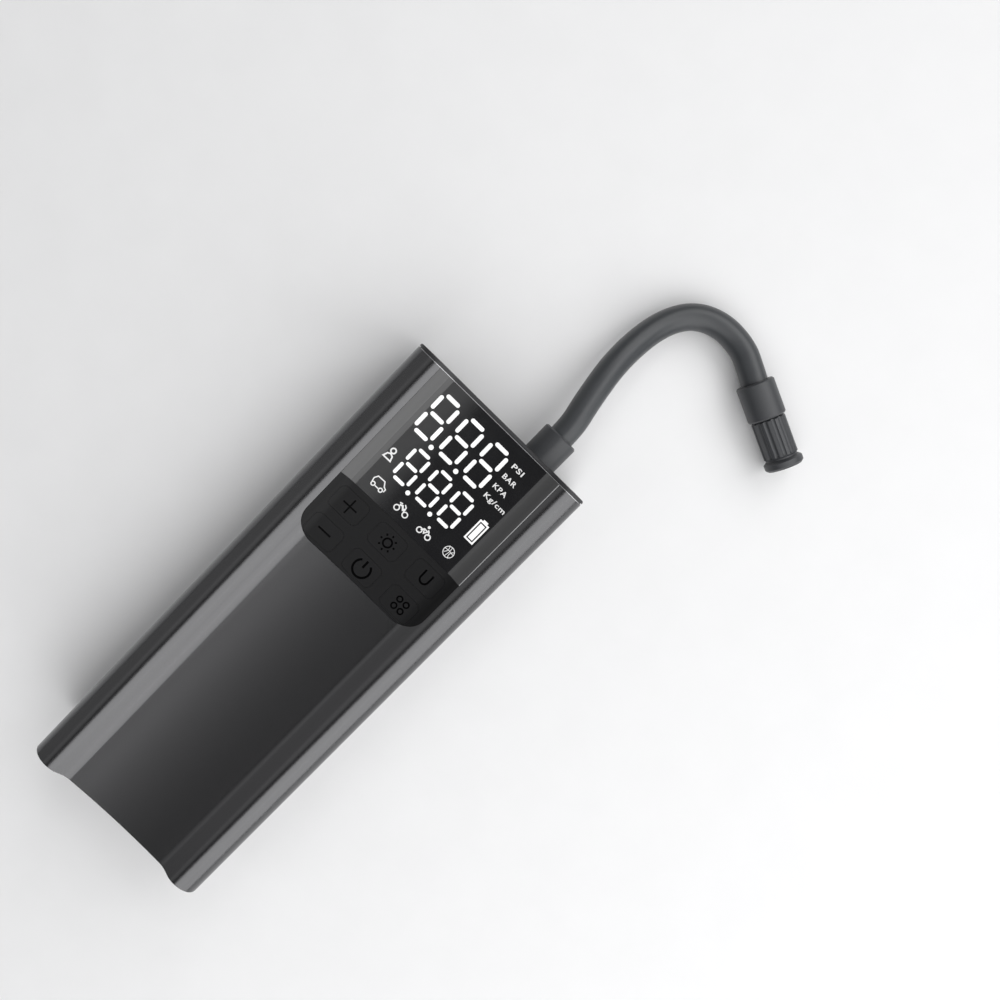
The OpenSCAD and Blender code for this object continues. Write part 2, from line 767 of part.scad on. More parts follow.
module usb_port() color([0.72, 0.73, 0.75]) {
    z = main_board_z1 + usb_h/2;
    difference() {
        along_y(usb_y1 - usb_len, usb_y1) translate([-usb_x, z]) round_rect(usb_w, usb_h, usb_h/2 - 0.05);
        along_y(usb_y1 - usb_len + 0.8, usb_y1 + 1) translate([-usb_x, z])
            round_rect(usb_w - 0.6, usb_h - 0.6, usb_h/2 - 0.35);
    }
    block([-usb_x - 3.35, usb_y1 - usb_len + 0.7, z - 0.35], [-usb_x + 3.35, usb_y1 - 0.9, z + 0.35]);
}

module pressure_sensor() color([0.12, 0.12, 0.13]) {
    top = drive_z + 2.4;
    block([sensor_x - sensor_w, sensor_y - sensor_w/2, main_board_z1], [sensor_x, sensor_y + sensor_w/2, top]);
    bar_x(sensor_x - 0.1, sensor_x + 4, sensor_y, drive_z, side_barb_r);
}

module sensor_tube() color([0.75, 0.76, 0.78]) difference() {
    bar_x(sensor_x + 0.2, side_barb_x + 3.6, sensor_y, drive_z, side_barb_r + 1);
    bar_x(sensor_x, side_barb_x + 5, sensor_y, drive_z, side_barb_r + eps);
}

module lamp_lens() color([0.92, 0.94, 0.96, 0.5]) difference() {
    bar_y(lamp_y0 + 1.8, half_l - 0.2, lamp_x, lamp_z, lamp_r);
    bar_y(lamp_y0, half_l - 1.6, lamp_x, lamp_z, lamp_r - 1);
}

module lamp_led() color([0.90, 0.86, 0.55]) {
    bar_y(lamp_y0 + 0.2, lamp_y0 + 1.4, lamp_x, lamp_z, lamp_r - 0.1);
    block([lamp_x - 1.6, lamp_y0 + 1.3, lamp_z - 1.6], [lamp_x + 1.6, lamp_y0 + 2.2, lamp_z + 1.6]);
}

// ---- cells ----

module battery_cells() color([0.10, 0.35, 0.55]) for (x = cell_x) {
    translate([x, cell_y0, cell_z]) rotate([-90, 0, 0]) rotate_extrude() polygon([
        [0, 0], [cell_r - 0.6, 0], [cell_r, 0.6], [cell_r, cell_len - 4.2], [cell_r - 0.7, cell_len - 3.6],
        [cell_r - 0.7, cell_len - 3], [cell_r, cell_len - 2.4], [cell_r, cell_len - 1.2],
        [cell_r - 0.5, cell_len - 0.8], [4, cell_len - 0.8], [4, cell_len], [0, cell_len]]);
}

// Nickel strips that join the cells in series, alternately at either end
module battery_tabs() color([0.78, 0.78, 0.76]) {
    half = 3.2;
    for (side = [[cell_y1, cell_x[1], cell_x[2]], [cell_y0 - tab_t, cell_x[0], cell_x[1]]])
        block([side[1] - half, side[0], cell_z - half], [side[2] + half, side[0] + tab_t, cell_z + half]);
    block([cell_x[0] - half, cell_y1, cell_z - half], [cell_x[0] + half, cell_y1 + tab_t, cell_z + half]);
    block([cell_x[2] - half, cell_y0 - tab_t, cell_z - half], [cell_x[2] + half, cell_y0, cell_z + half]);
}

module battery_clamp() color([0.30, 0.31, 0.32]) difference() {
    union() {
        for (y = cradle_y)
            block([-clamp_w/2, y, clamp_z0], [clamp_w/2, y + cradle_t, clamp_z1]);
        block([-clamp_w/2 + 6, cradle_y[0], clamp_z1 - 0.8],
            [clamp_w/2 - 6, cradle_y[1] + cradle_t, clamp_z1]);
        for (s = [-1, 1], y = cradle_y)
            translate([s*(clamp_w - clamp_leg)/2, 0, 0])
                block([-clamp_leg/2, y, tray_z1 + cradle_h], [clamp_leg/2, y + cradle_t, clamp_z1]);
    }
    for (x = cell_x) bar_y(cell_y0 - 2, cell_y1 + 2, x, cell_z, cell_r + cell_gap);
}

module charge_board() color([0.06, 0.20, 0.30]) {
    y0 = charge_board_y0;
    z1 = clamp_z1 + board_t;
    block([-charge_board_w/2, y0, clamp_z1], [charge_board_w/2, y0 + charge_board_len, z1]);
    for (k = [0:3]) block([-14 + 7*k, y0 + 6, z1], [-10 + 7*k, y0 + 11, z1 + 1.4]);
    block([-6, y0 + 18, z1], [6, y0 + 26, z1 + 1.6]);
    block([-14, y0 + charge_board_len - 4, z1], [-7, y0 + charge_board_len, z1 + 2.6]);
}

// Battery leads over the motor, and motor leads along the side wall
module wiring() color([0.55, 0.06, 0.05]) {
    lead_z = drive_z + motor_r + 1.4;
    board_z = main_board_z1 + 2.2;
    charge_y = charge_board_y0 + charge_board_len;
    lead_x = motor_x0 - endbell_t - wire_r - 0.1;
    for (x = [-12.4, -8.6]) wire([
        [x, charge_y + eps, clamp_z1 + board_t + 1.3],
        [x, charge_y + 2.5, clamp_z1 + board_t + 1.3],
        [x, charge_y + 8, lead_z],
        [x, motor_y + motor_r + 1, lead_z],
        [x, main_board_y0 - 1, board_z],
        [x, power_plug_y - eps, board_z]]);
    in_y = motor_plug_y - eps;
    wire([[lead_x, motor_y + 5, board_z], [lead_x, in_y - 5, board_z],
        [main_board_x0 + 4.5, in_y - 5, board_z], [main_board_x0 + 4.5, in_y, board_z]]);
    upper_z = 2*drive_z - board_z;
    wire([[lead_x, motor_y + 5, upper_z], [lead_x, in_y - 9, upper_z],
        [main_board_x0 + 8.5, in_y - 9, upper_z], [main_board_x0 + 8.5, in_y - 9, board_z],
        [main_board_x0 + 8.5, in_y, board_z]]);
}

// ---- motor ----

module motor_can() color([0.68, 0.69, 0.70]) difference() {
    union() {
        bar_x(motor_x0, motor_face_x, motor_y, drive_z, motor_r);
        bar_x(motor_face_x - 0.1, motor_face_x + boss_len, motor_y, drive_z, boss_r);
    }
    bar_x(motor_x0 - 1, motor_face_x - can_t - 0.5, motor_y, drive_z, motor_r - can_t);
    bar_x(motor_x0, motor_face_x + 3, motor_y, drive_z, shaft_d/2 + run_gap);
    for (s = [-1, 1]) bar_x(motor_face_x - 3, motor_face_x + 1, motor_y, drive_z + 8*s, 1.05);
}

module motor_endbell() color([0.08, 0.08, 0.09]) difference() {
    union() {
        bar_x(motor_x0 - endbell_t, motor_x0, motor_y, drive_z, endbell_r);
        bar_x(motor_x0 - 0.1, motor_x0 + 2, motor_y, drive_z, motor_r - can_t - eps);
    }
    bar_x(motor_x0 - 1, motor_x0 + 3, motor_y, drive_z, 7);
    bar_x(motor_x0 - endbell_t - 1, motor_x0 + 3, motor_y, drive_z, shaft_d/2 + run_gap);
    for (s = [-1, 1]) block([motor_x0 - endbell_t - 1, motor_y + 4, drive_z + 3.2*s - 0.6],
        [motor_x0 - 0.9, motor_y + 6, drive_z + 3.2*s + 0.6]);
}

// Two ferrite arcs seated in the can
module motor_magnets() color([0.22, 0.22, 0.23]) {
    r1 = motor_r - can_t;
    r0 = r1 - magnet_t;
    along_x(motor_x0 + 5, motor_face_x - 4) translate([motor_y, drive_z])
        for (s = [-1, 1]) intersection() {
            difference() {
                circle(r = r1);
                circle(r = r0);
            }
            polygon([[0, 0], [20*s, 12], [20*s, -12]]);
        }
}

module motor_brushes() color([0.35, 0.33, 0.30]) for (s = [-1, 1])
    translate([0, motor_y, drive_z]) mirror([0, s < 0 ? 1 : 0, 0])
        block([motor_x0 - 0.2, commutator_r + 0.1, -1.4], [motor_x0 + 1.8, 6.8, 1.4]);

module motor_shaft() color([0.75, 0.76, 0.78])
    bar_x(motor_x0 - endbell_t + 0.3, gear_x1 + 0.4, motor_y, drive_z, shaft_d/2);

// Laminated core: round head on each pole, winding slots between them
module armature_core() color([0.45, 0.46, 0.48]) {
    r = armature_d/2;
    along_x(motor_x0 + 7, motor_face_x - 5) translate([motor_y, drive_z]) difference() {
        circle(r = r);
        for (k = [0:poles - 1]) rotate(360*(k + 0.5)/poles) {
            translate([r*0.62, 0]) circle(r = r*0.24);
            translate([r*0.62, -0.6]) square([r, 1.2]);
        }
        circle(r = shaft_d/2);
    }
}

// Copper that fills the slots and turns over both ends of the core
module armature_windings() color([0.72, 0.36, 0.16]) {
    r = armature_d/2;
    end_t = 1.8;
    x0 = motor_x0 + 7 - end_t;
    x1 = motor_face_x - 5 + end_t;
    along_x(x0 + 0.2, x1 - 0.2) translate([motor_y, drive_z])
        for (k = [0:poles - 1]) rotate(360*(k + 0.5)/poles) translate([r*0.62, 0]) circle(r = r*0.22);
    for (x = [x0, x1 - end_t]) along_x(x, x + end_t) translate([motor_y, drive_z]) difference() {
        circle(r = r*0.88);
        circle(r = shaft_d/2);
    }
}

module commutator() color([0.75, 0.45, 0.22]) difference() {
    bar_x(motor_x0 - 0.6, motor_x0 + 5.2, motor_y, drive_z, commutator_r);
    bar_x(motor_x0 - 2, motor_x0 + 6, motor_y, drive_z, shaft_d/2);
    for (k = [0:poles - 1])
        translate([0, motor_y, drive_z]) rotate([360*k/poles, 0, 0])
            block([motor_x0 - 1, commutator_r - 0.4, -0.2], [motor_x0 + 4, commutator_r + 1, 0.2]);
}

module motor_pinion() color([0.80, 0.68, 0.36]) difference() {
    along_x(gear_x0 - 0.4, gear_x1 + 0.4)
        translate([motor_y, drive_z]) polygon(gear_points(pinion_teeth, 0));
    bar_x(plate_x1, gear_x1 + 2, motor_y, drive_z, shaft_d/2);
}

// ---- pump ----

module pump_frame() color([0.62, 0.63, 0.65]) difference() {
    union() {
        block([motor_face_x, motor_y - 10.5, tray_z1], [plate_x1, plate_y1, frame_z1]);
        block([motor_face_x, plate_y0, tray_z1], [frame_x1, plate_y1, frame_z1]);
    }
    bar_x(motor_face_x - 1, motor_face_x + boss_len + 0.2, motor_y, drive_z, boss_r + eps);
    bar_x(motor_face_x - 1, plate_x1 + 1, motor_y, drive_z, shaft_d/2 + 0.8);
    bar_x(motor_face_x - 1, plate_x1 + 1, gear_y, drive_z, bearing_r);
    bar_y(plate_y0 - 1, plate_y1 + 1, pump_x, drive_z, cylinder_r + eps);
    for (x = [-1, 1], z = [-1, 1])
        bar_y(plate_y0 - 1, plate_y1 + 1, pump_x + x*head_screw_at, drive_z + z*head_screw_at, head_screw_d/2);
    for (s = [-1, 1]) {
        bar_x(motor_face_x - 1, plate_x1 + 1, motor_y, drive_z + 8*s, 1.35);
        bar_x(plate_x1 - 2.4, plate_x1 + 1, motor_y, drive_z + 8*s, 2.4);
    }
}

// Crown gear web with lightening holes on a hub
module drive_gear() color([0.86, 0.86, 0.82]) {
    difference() {
        along_x(gear_x0, gear_x1) translate([gear_y, drive_z]) difference() {
            polygon(gear_points(gear_teeth, 180/gear_teeth));
            circle(r = crankshaft_d/2);
            for (k = [0:5]) rotate(60*k + 30) translate([gear_pr*0.62, 0]) circle(r = 1.9);
        }
        along_x(gear_x0 - 1, gear_x0 + 1) translate([gear_y, drive_z]) difference() {
            circle(r = gear_pr - 1.8);
            circle(r = 3.6);
        }
    }
}

// Shaft, crank disc with its counterweight, and the crank pin
module crankshaft() color([0.55, 0.56, 0.58]) {
    bar_x(motor_face_x + 0.3, gear_x1 + 0.1, gear_y, drive_z, crankshaft_d/2);
    along_x(gear_x1, web_x1) translate([gear_y, drive_z]) {
        circle(r = 5);
        translate([crank_r, 0]) circle(r = crank_pin_d/2 + 1);
        intersection() {
            circle(r = 9);
            translate([-12, -8]) square([12, 16]);
        }
    }
    bar_x(web_x1 - 0.1, rod_x1 + 0.4, crank_y, drive_z, crank_pin_d/2);
}

// Two shielded bearings pressed into the frame's bore
module gear_bearings() color([0.74, 0.75, 0.77]) for (x = bearing_x) difference() {
    bar_x(x, x + bearing_w, gear_y, drive_z, bearing_r);
    bar_x(x - 1, x + 4, gear_y, drive_z, crankshaft_d/2 + run_gap);
    for (face = [x - 0.3, x + bearing_w - 0.25]) along_x(face, face + 0.55)
        translate([gear_y, drive_z]) difference() {
            circle(r = 3.8);
            circle(r = 2.8);
        }
}

// Rod with an I-section shank between its two eyes
module connecting_rod() color([0.66, 0.67, 0.69]) difference() {
    union() {
        bar_x(rod_x0, rod_x1, crank_y, drive_z, big_eye_r);
        bar_x(rod_x0, rod_x1, wrist_y, drive_z, small_eye_r);
        along_x(rod_x0 + 1, rod_x1 - 1) polygon([
            [crank_y + 2, drive_z - 3.2], [wrist_y - 1, drive_z - 2.2],
            [wrist_y - 1, drive_z + 2.2], [crank_y + 2, drive_z + 3.2]]);
    }
    for (x = [rod_x0 - 1, rod_x1 - 2.2]) along_x(x, x + 3.2) polygon([
        [crank_y + big_eye_r + 0.6, drive_z - 1.7], [wrist_y - small_eye_r - 0.6, drive_z - 1.2],
        [wrist_y - small_eye_r - 0.6, drive_z + 1.2], [crank_y + big_eye_r + 0.6, drive_z + 1.7]]);
    bar_x(rod_x0 - 1, rod_x1 + 1, crank_y, drive_z, bush_r);
    bar_x(rod_x0 - 1, rod_x1 + 1, wrist_y, drive_z, wrist_pin_d/2);
}

module big_end_bush() color([0.78, 0.60, 0.30]) difference() {
    bar_x(rod_x0, rod_x1, crank_y, drive_z, bush_r);
    bar_x(rod_x0 - 1, rod_x1 + 1, crank_y, drive_z, crank_pin_d/2 + run_gap);
}

module wrist_pin() color([0.80, 0.81, 0.83])
    bar_x(pump_x - pin_reach, pump_x + pin_reach, wrist_y, drive_z, wrist_pin_d/2);

// Trunk piston: crown, seal groove, and a skirt with two flat ears for the wrist pin
module piston() color([0.72, 0.73, 0.75]) difference() {
    bar_y(piston_y0, piston_y1, pump_x, drive_z, piston_r);
    intersection() {
        bar_y(piston_y0 - 1, crown_y0, pump_x, drive_z, skirt_r);
        block([pump_x - ear_x, 0, 0], [pump_x + ear_x, half_l, body_h]);
    }
    bar_y(crown_y0 - 1, piston_y1 + 1, pump_x, drive_z, port_r);
    seal_groove(piston_r - seal_depth, seal_w);
}

// Ring shaped cut or ring in the piston's top land
module seal_groove(inner_r, w, outer_r = piston_r + 1) {
    y = piston_y1 - 2.4;
    difference() {
        bar_y(y - w/2, y + w/2, pump_x, drive_z, outer_r);
        bar_y(y - w, y + w, pump_x, drive_z, inner_r);
    }
}

module piston_seal() color([0.08, 0.08, 0.08])
    seal_groove(piston_r - seal_depth, seal_w, bore_r - run_gap/2);

module intake_flap() color([0.30, 0.31, 0.33])
    bar_y(piston_y1, piston_y1 + flap_t, pump_x, drive_z, flap_r);

module pump_cylinder() color([0.70, 0.71, 0.73]) difference() {
    union() {
        bar_y(plate_y0, cylinder_y1, pump_x, drive_z, cylinder_r);
        along_y(plate_y1, flange_y1) translate([pump_x, drive_z]) round_rect(head_w, head_w, 3);
    }
    bar_y(plate_y0 - 1, cylinder_y1 + 1, pump_x, drive_z, bore_r);
    for (x = [-1, 1], z = [-1, 1])
        bar_y(plate_y1 - 1, flange_y1 + 1, pump_x + x*head_screw_at, drive_z + z*head_screw_at,
            head_screw_d/2 + 0.1);
}

// Finned head with the outlet nipple and the side nipple for the sensor
module cylinder_head() color([0.66, 0.67, 0.69]) difference() {
    union() {
        along_y(head_y0, head_y1) translate([pump_x, drive_z]) round_rect(head_w, head_w, 3);
        bar_y(head_y1 - 1, head_y1 + barb_len, pump_x, drive_z, barb_r);
        bar_x(side_barb_x, pump_x, sensor_y, drive_z, side_barb_r);
    }
    bar_y(head_y0 - 1, head_y0 + 3, pump_x, drive_z, 6);
    bar_y(head_y0, head_y1 + 8, pump_x, drive_z, air_r);
    bar_x(side_barb_x - 1, pump_x, sensor_y, drive_z, 0.6);
    for (x = [-1, 1], z = [-1, 1])
        bar_y(head_y0 - 1, head_y1 + 1, pump_x + x*head_screw_at, drive_z + z*head_screw_at,
            head_screw_d/2 + 0.1);
    for (k = [0:1], s = [-1, 1]) translate([pump_x, 0, drive_z + s*(head_w/2 + 1)])
        block([-5.5, head_y0 + 1.8 + 2.6*k, -2], [5.5, head_y0 + 3.2 + 2.6*k, 2]);
}

module valve_plate() color([0.60, 0.61, 0.64]) difference() {
    bar_y(cylinder_y1, head_y0, pump_x, drive_z, cylinder_r);
    bar_y(cylinder_y1 - 1, head_y0 + 1, pump_x, drive_z, port_r);
}

// Spring strip over the outlet port
module outlet_reed() color([0.50, 0.52, 0.58])
    along_y(head_y0, head_y0 + reed_t) translate([pump_x, drive_z]) round_rect(10, 4.4, 2.1);

module pump_screws() color([0.50, 0.50, 0.52]) {
    for (x = [-1, 1], z = [-1, 1]) translate([pump_x + x*head_screw_at, 0, drive_z + z*head_screw_at]) {
        bar_y(plate_y0, head_y1 + 0.1, 0, 0, head_screw_d/2);
        difference() {
            bar_y(head_y1, head_y1 + screw_head_h, 0, 0, head_screw_d*0.9);
            translate([0, head_y1 + 1, 0]) rotate([-90, 0, 0]) cylinder(h = 2, r = 1.1, $fn = 6);
        }
    }
    for (s = [-1, 1]) translate([0, 0, 8*s]) {
        bar_x(motor_face_x - 1.4, plate_x1 - 2.3, motor_y, drive_z, 1);
        difference() {
            bar_x(plate_x1 - 2.4, plate_x1 - 0.6, motor_y, drive_z, 2);
            translate([plate_x1 - 1.6, motor_y, drive_z]) rotate([0, 90, 0]) cylinder(h = 2, r = 1, $fn = 6);
        }
    }
}

module outlet_tube() color([0.10, 0.10, 0.10]) difference() {
    bar_y(tube_y0, tube_y1, pump_x, drive_z, tube_r);
    bar_y(tube_y0 - 1, tube_y1 + 1, pump_x, drive_z, tube_bore_d/2);
}

// Barbed tail, hexagon against the cap, and the barrel that carries the collar
module outlet_fitting() color([0.80, 0.66, 0.32]) difference() {
    union() {
        bar_y(hex_y0 - barb_len, hex_y0 + 0.1, pump_x, drive_z, barb_r);
        translate([pump_x, hex_y0, drive_z]) rotate([-90, 0, 0])
            cylinder(h = hex_t, r = fitting_flats/sqrt(3), $fn = 6);
        bar_y(hex_y0 + 1, barrel_y1, pump_x, drive_z, barrel_r);
    }
    bar_y(hex_y0 - barb_len - 1, barrel_y1 + 1, pump_x, drive_z, air_r);
    bar_y(barrel_y1 - mouth_len, barrel_y1 + 1, pump_x, drive_z, mouth_r);
}

// ---- hose and chuck ----

// Turned piece about Y through the pump's axis, from a list of [radius, distance along Y]
module turned_y(points) {
    translate([pump_x, 0, drive_z]) rotate([-90, 0, 0]) rotate_extrude() polygon(points);
}

module hose_collar() color([0.20, 0.21, 0.23]) {
    r = collar_d/2;
    y0 = half_l;
    bevel = 0.5;
    tail_r = mouth_r - eps;
    tail_y = barrel_y1 - mouth_len + 0.2;
    turned_y([[air_r, tail_y], [tail_r, tail_y], [tail_r, y0], [r, y0], [r, collar_y1 - bevel],
        [r - bevel, collar_y1], [seat_r, collar_y1], [seat_r, collar_y1 - hose_seat],
        [air_r, collar_y1 - hose_seat]]);
}

// Smooth curve through the route, straight inside the collar and the ferrule
function curve(a, b, c, d, t) =
    0.5*(2*b + (c - a)*t + (2*a - 5*b + 4*c - d)*t*t + (3*b - a - 3*c + d)*t*t*t);
function route_at(k) =
    k < 0 ? hose_route[0] - [0, 6, 0] :
    k > len(hose_route) - 1 ? chuck_at + 6*chuck_dir : hose_route[k];
hose_points = concat(
    [hose_route[0] - [0, hose_seat, 0]],
    [for (k = [0:len(hose_route) - 2], s = [0:hose_steps - 1])
        curve(route_at(k - 1), route_at(k), route_at(k + 1), route_at(k + 2), s/hose_steps)],
    [chuck_at, chuck_at + hose_seat*chuck_dir]);
hose_last = len(hose_points) - 1;
function unit(v) = v/norm(v);
function heading(k) =
    k <= 1 ? [0, 1, 0] : k >= hose_last - 1 ? chuck_dir : unit(hose_points[k + 1] - hose_points[k - 1]);
function hose_ring(k) =
    let (side = unit(cross(heading(k), [0, 0, 1])), up = cross(side, heading(k)))
    [for (n = [0:hose_sides - 1]) let (a = 360*n/hose_sides)
        hose_points[k] + hose_r*(cos(a)*side + sin(a)*up)];

module hose() color([0.17, 0.18, 0.20]) {
    n = hose_sides;
    polyhedron(
        points = [for (k = [0:hose_last]) each hose_ring(k)],
        faces = concat(
            [[for (j = [0:n - 1]) j]],
            [for (k = [0:hose_last - 1], j = [0:n - 1], half = [0, 1])
                let (a = k*n + j, b = k*n + (j + 1)%n)
                half == 0 ? [a, a + n, b + n] : [a, b + n, b]],
            [[for (j = [n - 1:-1:0]) hose_last*n + j]]));
}

// Puts a piece drawn along Z onto the chuck's axis
module at_chuck() {
    translate(chuck_at) rotate([0, 0, chuck_angle]) rotate([0, 90, 0]) children();
}

module hose_ferrule() color([0.19, 0.20, 0.22]) at_chuck() {
    r = ferrule_r;
    bevel = 0.5;
    rotate_extrude() polygon([[seat_r, 0], [r - bevel, 0], [r, bevel], [r, ferrule_len - bevel],
        [r - bevel, ferrule_len], [spigot_r + eps, ferrule_len], [spigot_r + eps, spigot_at],
        [pin_r, spigot_at], [pin_r, hose_seat], [seat_r, hose_seat]]);
}

// Screw-on nozzle: fluted grip, neck, rounded end flange, valve bore and a tail in the ferrule
module chuck_nozzle() color([0.18, 0.19, 0.21]) at_chuck() difference() {
    neck = 0.5;
    flange_at = chuck_end - flange_t;
    r = flange_d/2;
    round_r = 0.9;
    union() {
        translate([0, 0, spigot_at + 0.5]) cylinder(h = nozzle_at - spigot_at, r = spigot_r);
        rotate_extrude() polygon([[0, nozzle_at], [nozzle_r - 0.4, nozzle_at], [nozzle_r, nozzle_at + 0.4],
            [nozzle_r, flange_at - 0.9], [nozzle_r - neck, flange_at - 0.4], [nozzle_r - neck, flange_at + 0.2],
            [r - round_r, flange_at + 0.2], [r, flange_at + round_r], [r, chuck_end - 0.8],
            [r - 0.8, chuck_end], [0, chuck_end]]);
    }
    for (k = [0:flutes - 1]) rotate(360*k/flutes)
        translate([nozzle_r + flute_r - flute_depth, 0, nozzle_at - 0.1])
            cylinder(h = flange_at - 0.9 - nozzle_at, r = flute_r, $fn = 24);
    translate([0, 0, bore_at - 0.1]) cylinder(h = valve_bore_len + 1, r = valve_bore_d/2);
    translate([0, 0, seal_at]) cylinder(h = bore_at - seal_at, r = seal_seat_r);
    cylinder(h = chuck_end, r = pin_way_r);
}

module chuck_seal() color([0.06, 0.06, 0.06]) at_chuck() difference() {
    translate([0, 0, seal_at]) cylinder(h = bore_at - seal_at, r = seal_seat_r);
    translate([0, 0, seal_at - 1]) cylinder(h = 5, r = pin_way_r);
}

module core_pin() color([0.82, 0.68, 0.34]) at_chuck()
    translate([0, 0, hose_seat + 0.2]) cylinder(h = bore_at - hose_seat - 0.3, r = pin_r);

casing();
top_cap();
bottom_cap();
end_cap_screws();
inner_tray();
display_window();
display_module();
display_board();
display_carrier();
keypad_panel();
key_plus();
key_minus();
key_light();
key_power();
key_unit();
key_mode();
key_switches();
main_board();
usb_port();
pressure_sensor();
sensor_tube();
lamp_lens();
lamp_led();
battery_cells();
battery_tabs();
battery_clamp();
charge_board();
wiring();
motor_can();
motor_endbell();
motor_magnets();
motor_brushes();
motor_shaft();
armature_core();
armature_windings();
commutator();
motor_pinion();
pump_frame();
drive_gear();
crankshaft();
gear_bearings();
connecting_rod();
big_end_bush();
wrist_pin();
piston();
piston_seal();
intake_flap();
pump_cylinder();
cylinder_head();
valve_plate();
outlet_reed();
pump_screws();
outlet_tube();
outlet_fitting();
hose_collar();
hose();
hose_ferrule();
chuck_nozzle();
chuck_seal();
core_pin();
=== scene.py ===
import math

import bmesh
import bpy
from mathutils import Matrix, Vector


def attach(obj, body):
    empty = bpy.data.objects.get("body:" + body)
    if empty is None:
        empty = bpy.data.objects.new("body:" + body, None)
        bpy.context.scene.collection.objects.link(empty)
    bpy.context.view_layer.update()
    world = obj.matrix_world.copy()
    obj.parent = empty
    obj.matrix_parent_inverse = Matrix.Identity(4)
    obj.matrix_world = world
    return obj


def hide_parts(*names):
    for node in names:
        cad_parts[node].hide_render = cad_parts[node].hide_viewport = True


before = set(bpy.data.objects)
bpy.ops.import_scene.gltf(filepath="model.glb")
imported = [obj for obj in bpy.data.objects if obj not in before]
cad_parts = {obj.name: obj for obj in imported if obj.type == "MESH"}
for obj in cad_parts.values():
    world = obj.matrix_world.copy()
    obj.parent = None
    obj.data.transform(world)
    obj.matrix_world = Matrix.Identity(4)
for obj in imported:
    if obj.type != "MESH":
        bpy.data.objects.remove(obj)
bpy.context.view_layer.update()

# ---- the table it lies on ----
# A broad pale sheet of studio board under the back of the body. The grain is only just there.
floor_size = 4.0
floor_shape = bmesh.new()
bmesh.ops.create_grid(floor_shape, x_segments=8, y_segments=8, size=floor_size / 2)
floor_mesh = bpy.data.meshes.new("studio_floor")
floor_shape.to_mesh(floor_mesh)
floor_shape.free()
studio_floor = bpy.data.objects.new("studio_floor", floor_mesh)
studio_floor.location = (0, 0.04, -0.0002)
bpy.context.scene.collection.objects.link(studio_floor)


def plain_finish(name, colour, roughness, metallic=0.0):
    """A finish with its steady values set straight on the shader."""
    finish = bpy.data.materials.new(name)
    finish.use_nodes = True
    shader = finish.node_tree.nodes["Principled BSDF"]
    shader.inputs["Base Color"].default_value = (*colour, 1)
    shader.inputs["Roughness"].default_value = roughness
    shader.inputs["Metallic"].default_value = metallic
    return finish, shader


def add_grain(finish, shader, grain, tone=0.0, rough=0.0, bump=0.0, stretch=(1, 1, 1), detail=3.0):
    """Grain of that size in metres. Tone and roughness vary by a share, and bump is a height."""
    tree = finish.node_tree
    place = tree.nodes.new("ShaderNodeTexCoord")
    fit = tree.nodes.new("ShaderNodeMapping")
    fit.inputs["Scale"].default_value = [s / grain for s in stretch]
    specks = tree.nodes.new("ShaderNodeTexNoise")
    specks.inputs["Scale"].default_value = 1.0
    specks.inputs["Detail"].default_value = detail
    tree.links.new(place.outputs["Object"], fit.inputs["Vector"])
    tree.links.new(fit.outputs["Vector"], specks.inputs["Vector"])
    if tone:
        colour = shader.inputs["Base Color"].default_value[:3]
        ramp = tree.nodes.new("ShaderNodeValToRGB")
        for stop, share, at in zip(ramp.color_ramp.elements, (1 - tone, 1 + tone), (0.3, 0.7)):
            stop.position = at
            stop.color = (*[min(1, c * share) for c in colour], 1)
        tree.links.new(specks.outputs["Fac"], ramp.inputs["Fac"])
        tree.links.new(ramp.outputs["Color"], shader.inputs["Base Color"])
    if rough:
        middle = shader.inputs["Roughness"].default_value
        span = tree.nodes.new("ShaderNodeMapRange")
        span.inputs["From Min"].default_value = 0.3
        span.inputs["From Max"].default_value = 0.7
        span.inputs["To Min"].default_value = middle * (1 - rough)
        span.inputs["To Max"].default_value = min(1, middle * (1 + rough))
        tree.links.new(specks.outputs["Fac"], span.inputs["Value"])
        tree.links.new(span.outputs["Result"], shader.inputs["Roughness"])
    if bump:
        lift = tree.nodes.new("ShaderNodeBump")
        lift.inputs["Strength"].default_value = 1.0
        lift.inputs["Distance"].default_value = bump
        tree.links.new(specks.outputs["Fac"], lift.inputs["Height"])
        tree.links.new(lift.outputs["Normal"], shader.inputs["Normal"])
    return finish


board_white, shader = plain_finish("studio_board", (0.80, 0.80, 0.805), 0.75)
studio_floor.data.materials.append(add_grain(board_white, shader, 0.02, tone=0.01, rough=0.05))

# ---- camera and lights ----
# The camera looks down on the front with the hose end at the upper right. Two broad soft lights
# stand on the body's right, two weak ones on its left, and one beyond the hose end for the table.
lens_place = (-0.0049, 0.0939, 0.3507)
lens_look = Vector((0.0555, -0.1068, -0.9928))
lens_right = Vector((0.7152, 0.6979, -0.0351))
lens_down = Vector((0.6966, -0.7080, 0.1151))
camera_data = bpy.data.cameras.new("camera")
camera_data.lens = 36
camera_data.sensor_width = 36
camera_data.shift_x = 0.04
camera_data.shift_y = 0.025
camera_data.clip_start = 0.01
camera = bpy.data.objects.new("camera", camera_data)
lens_turn = Matrix((lens_right, -lens_down, -lens_look)).transposed().to_4x4()
camera.matrix_world = Matrix.Translation(lens_place) @ lens_turn
bpy.context.scene.collection.objects.link(camera)
bpy.context.scene.camera = camera


front_level = 0.035


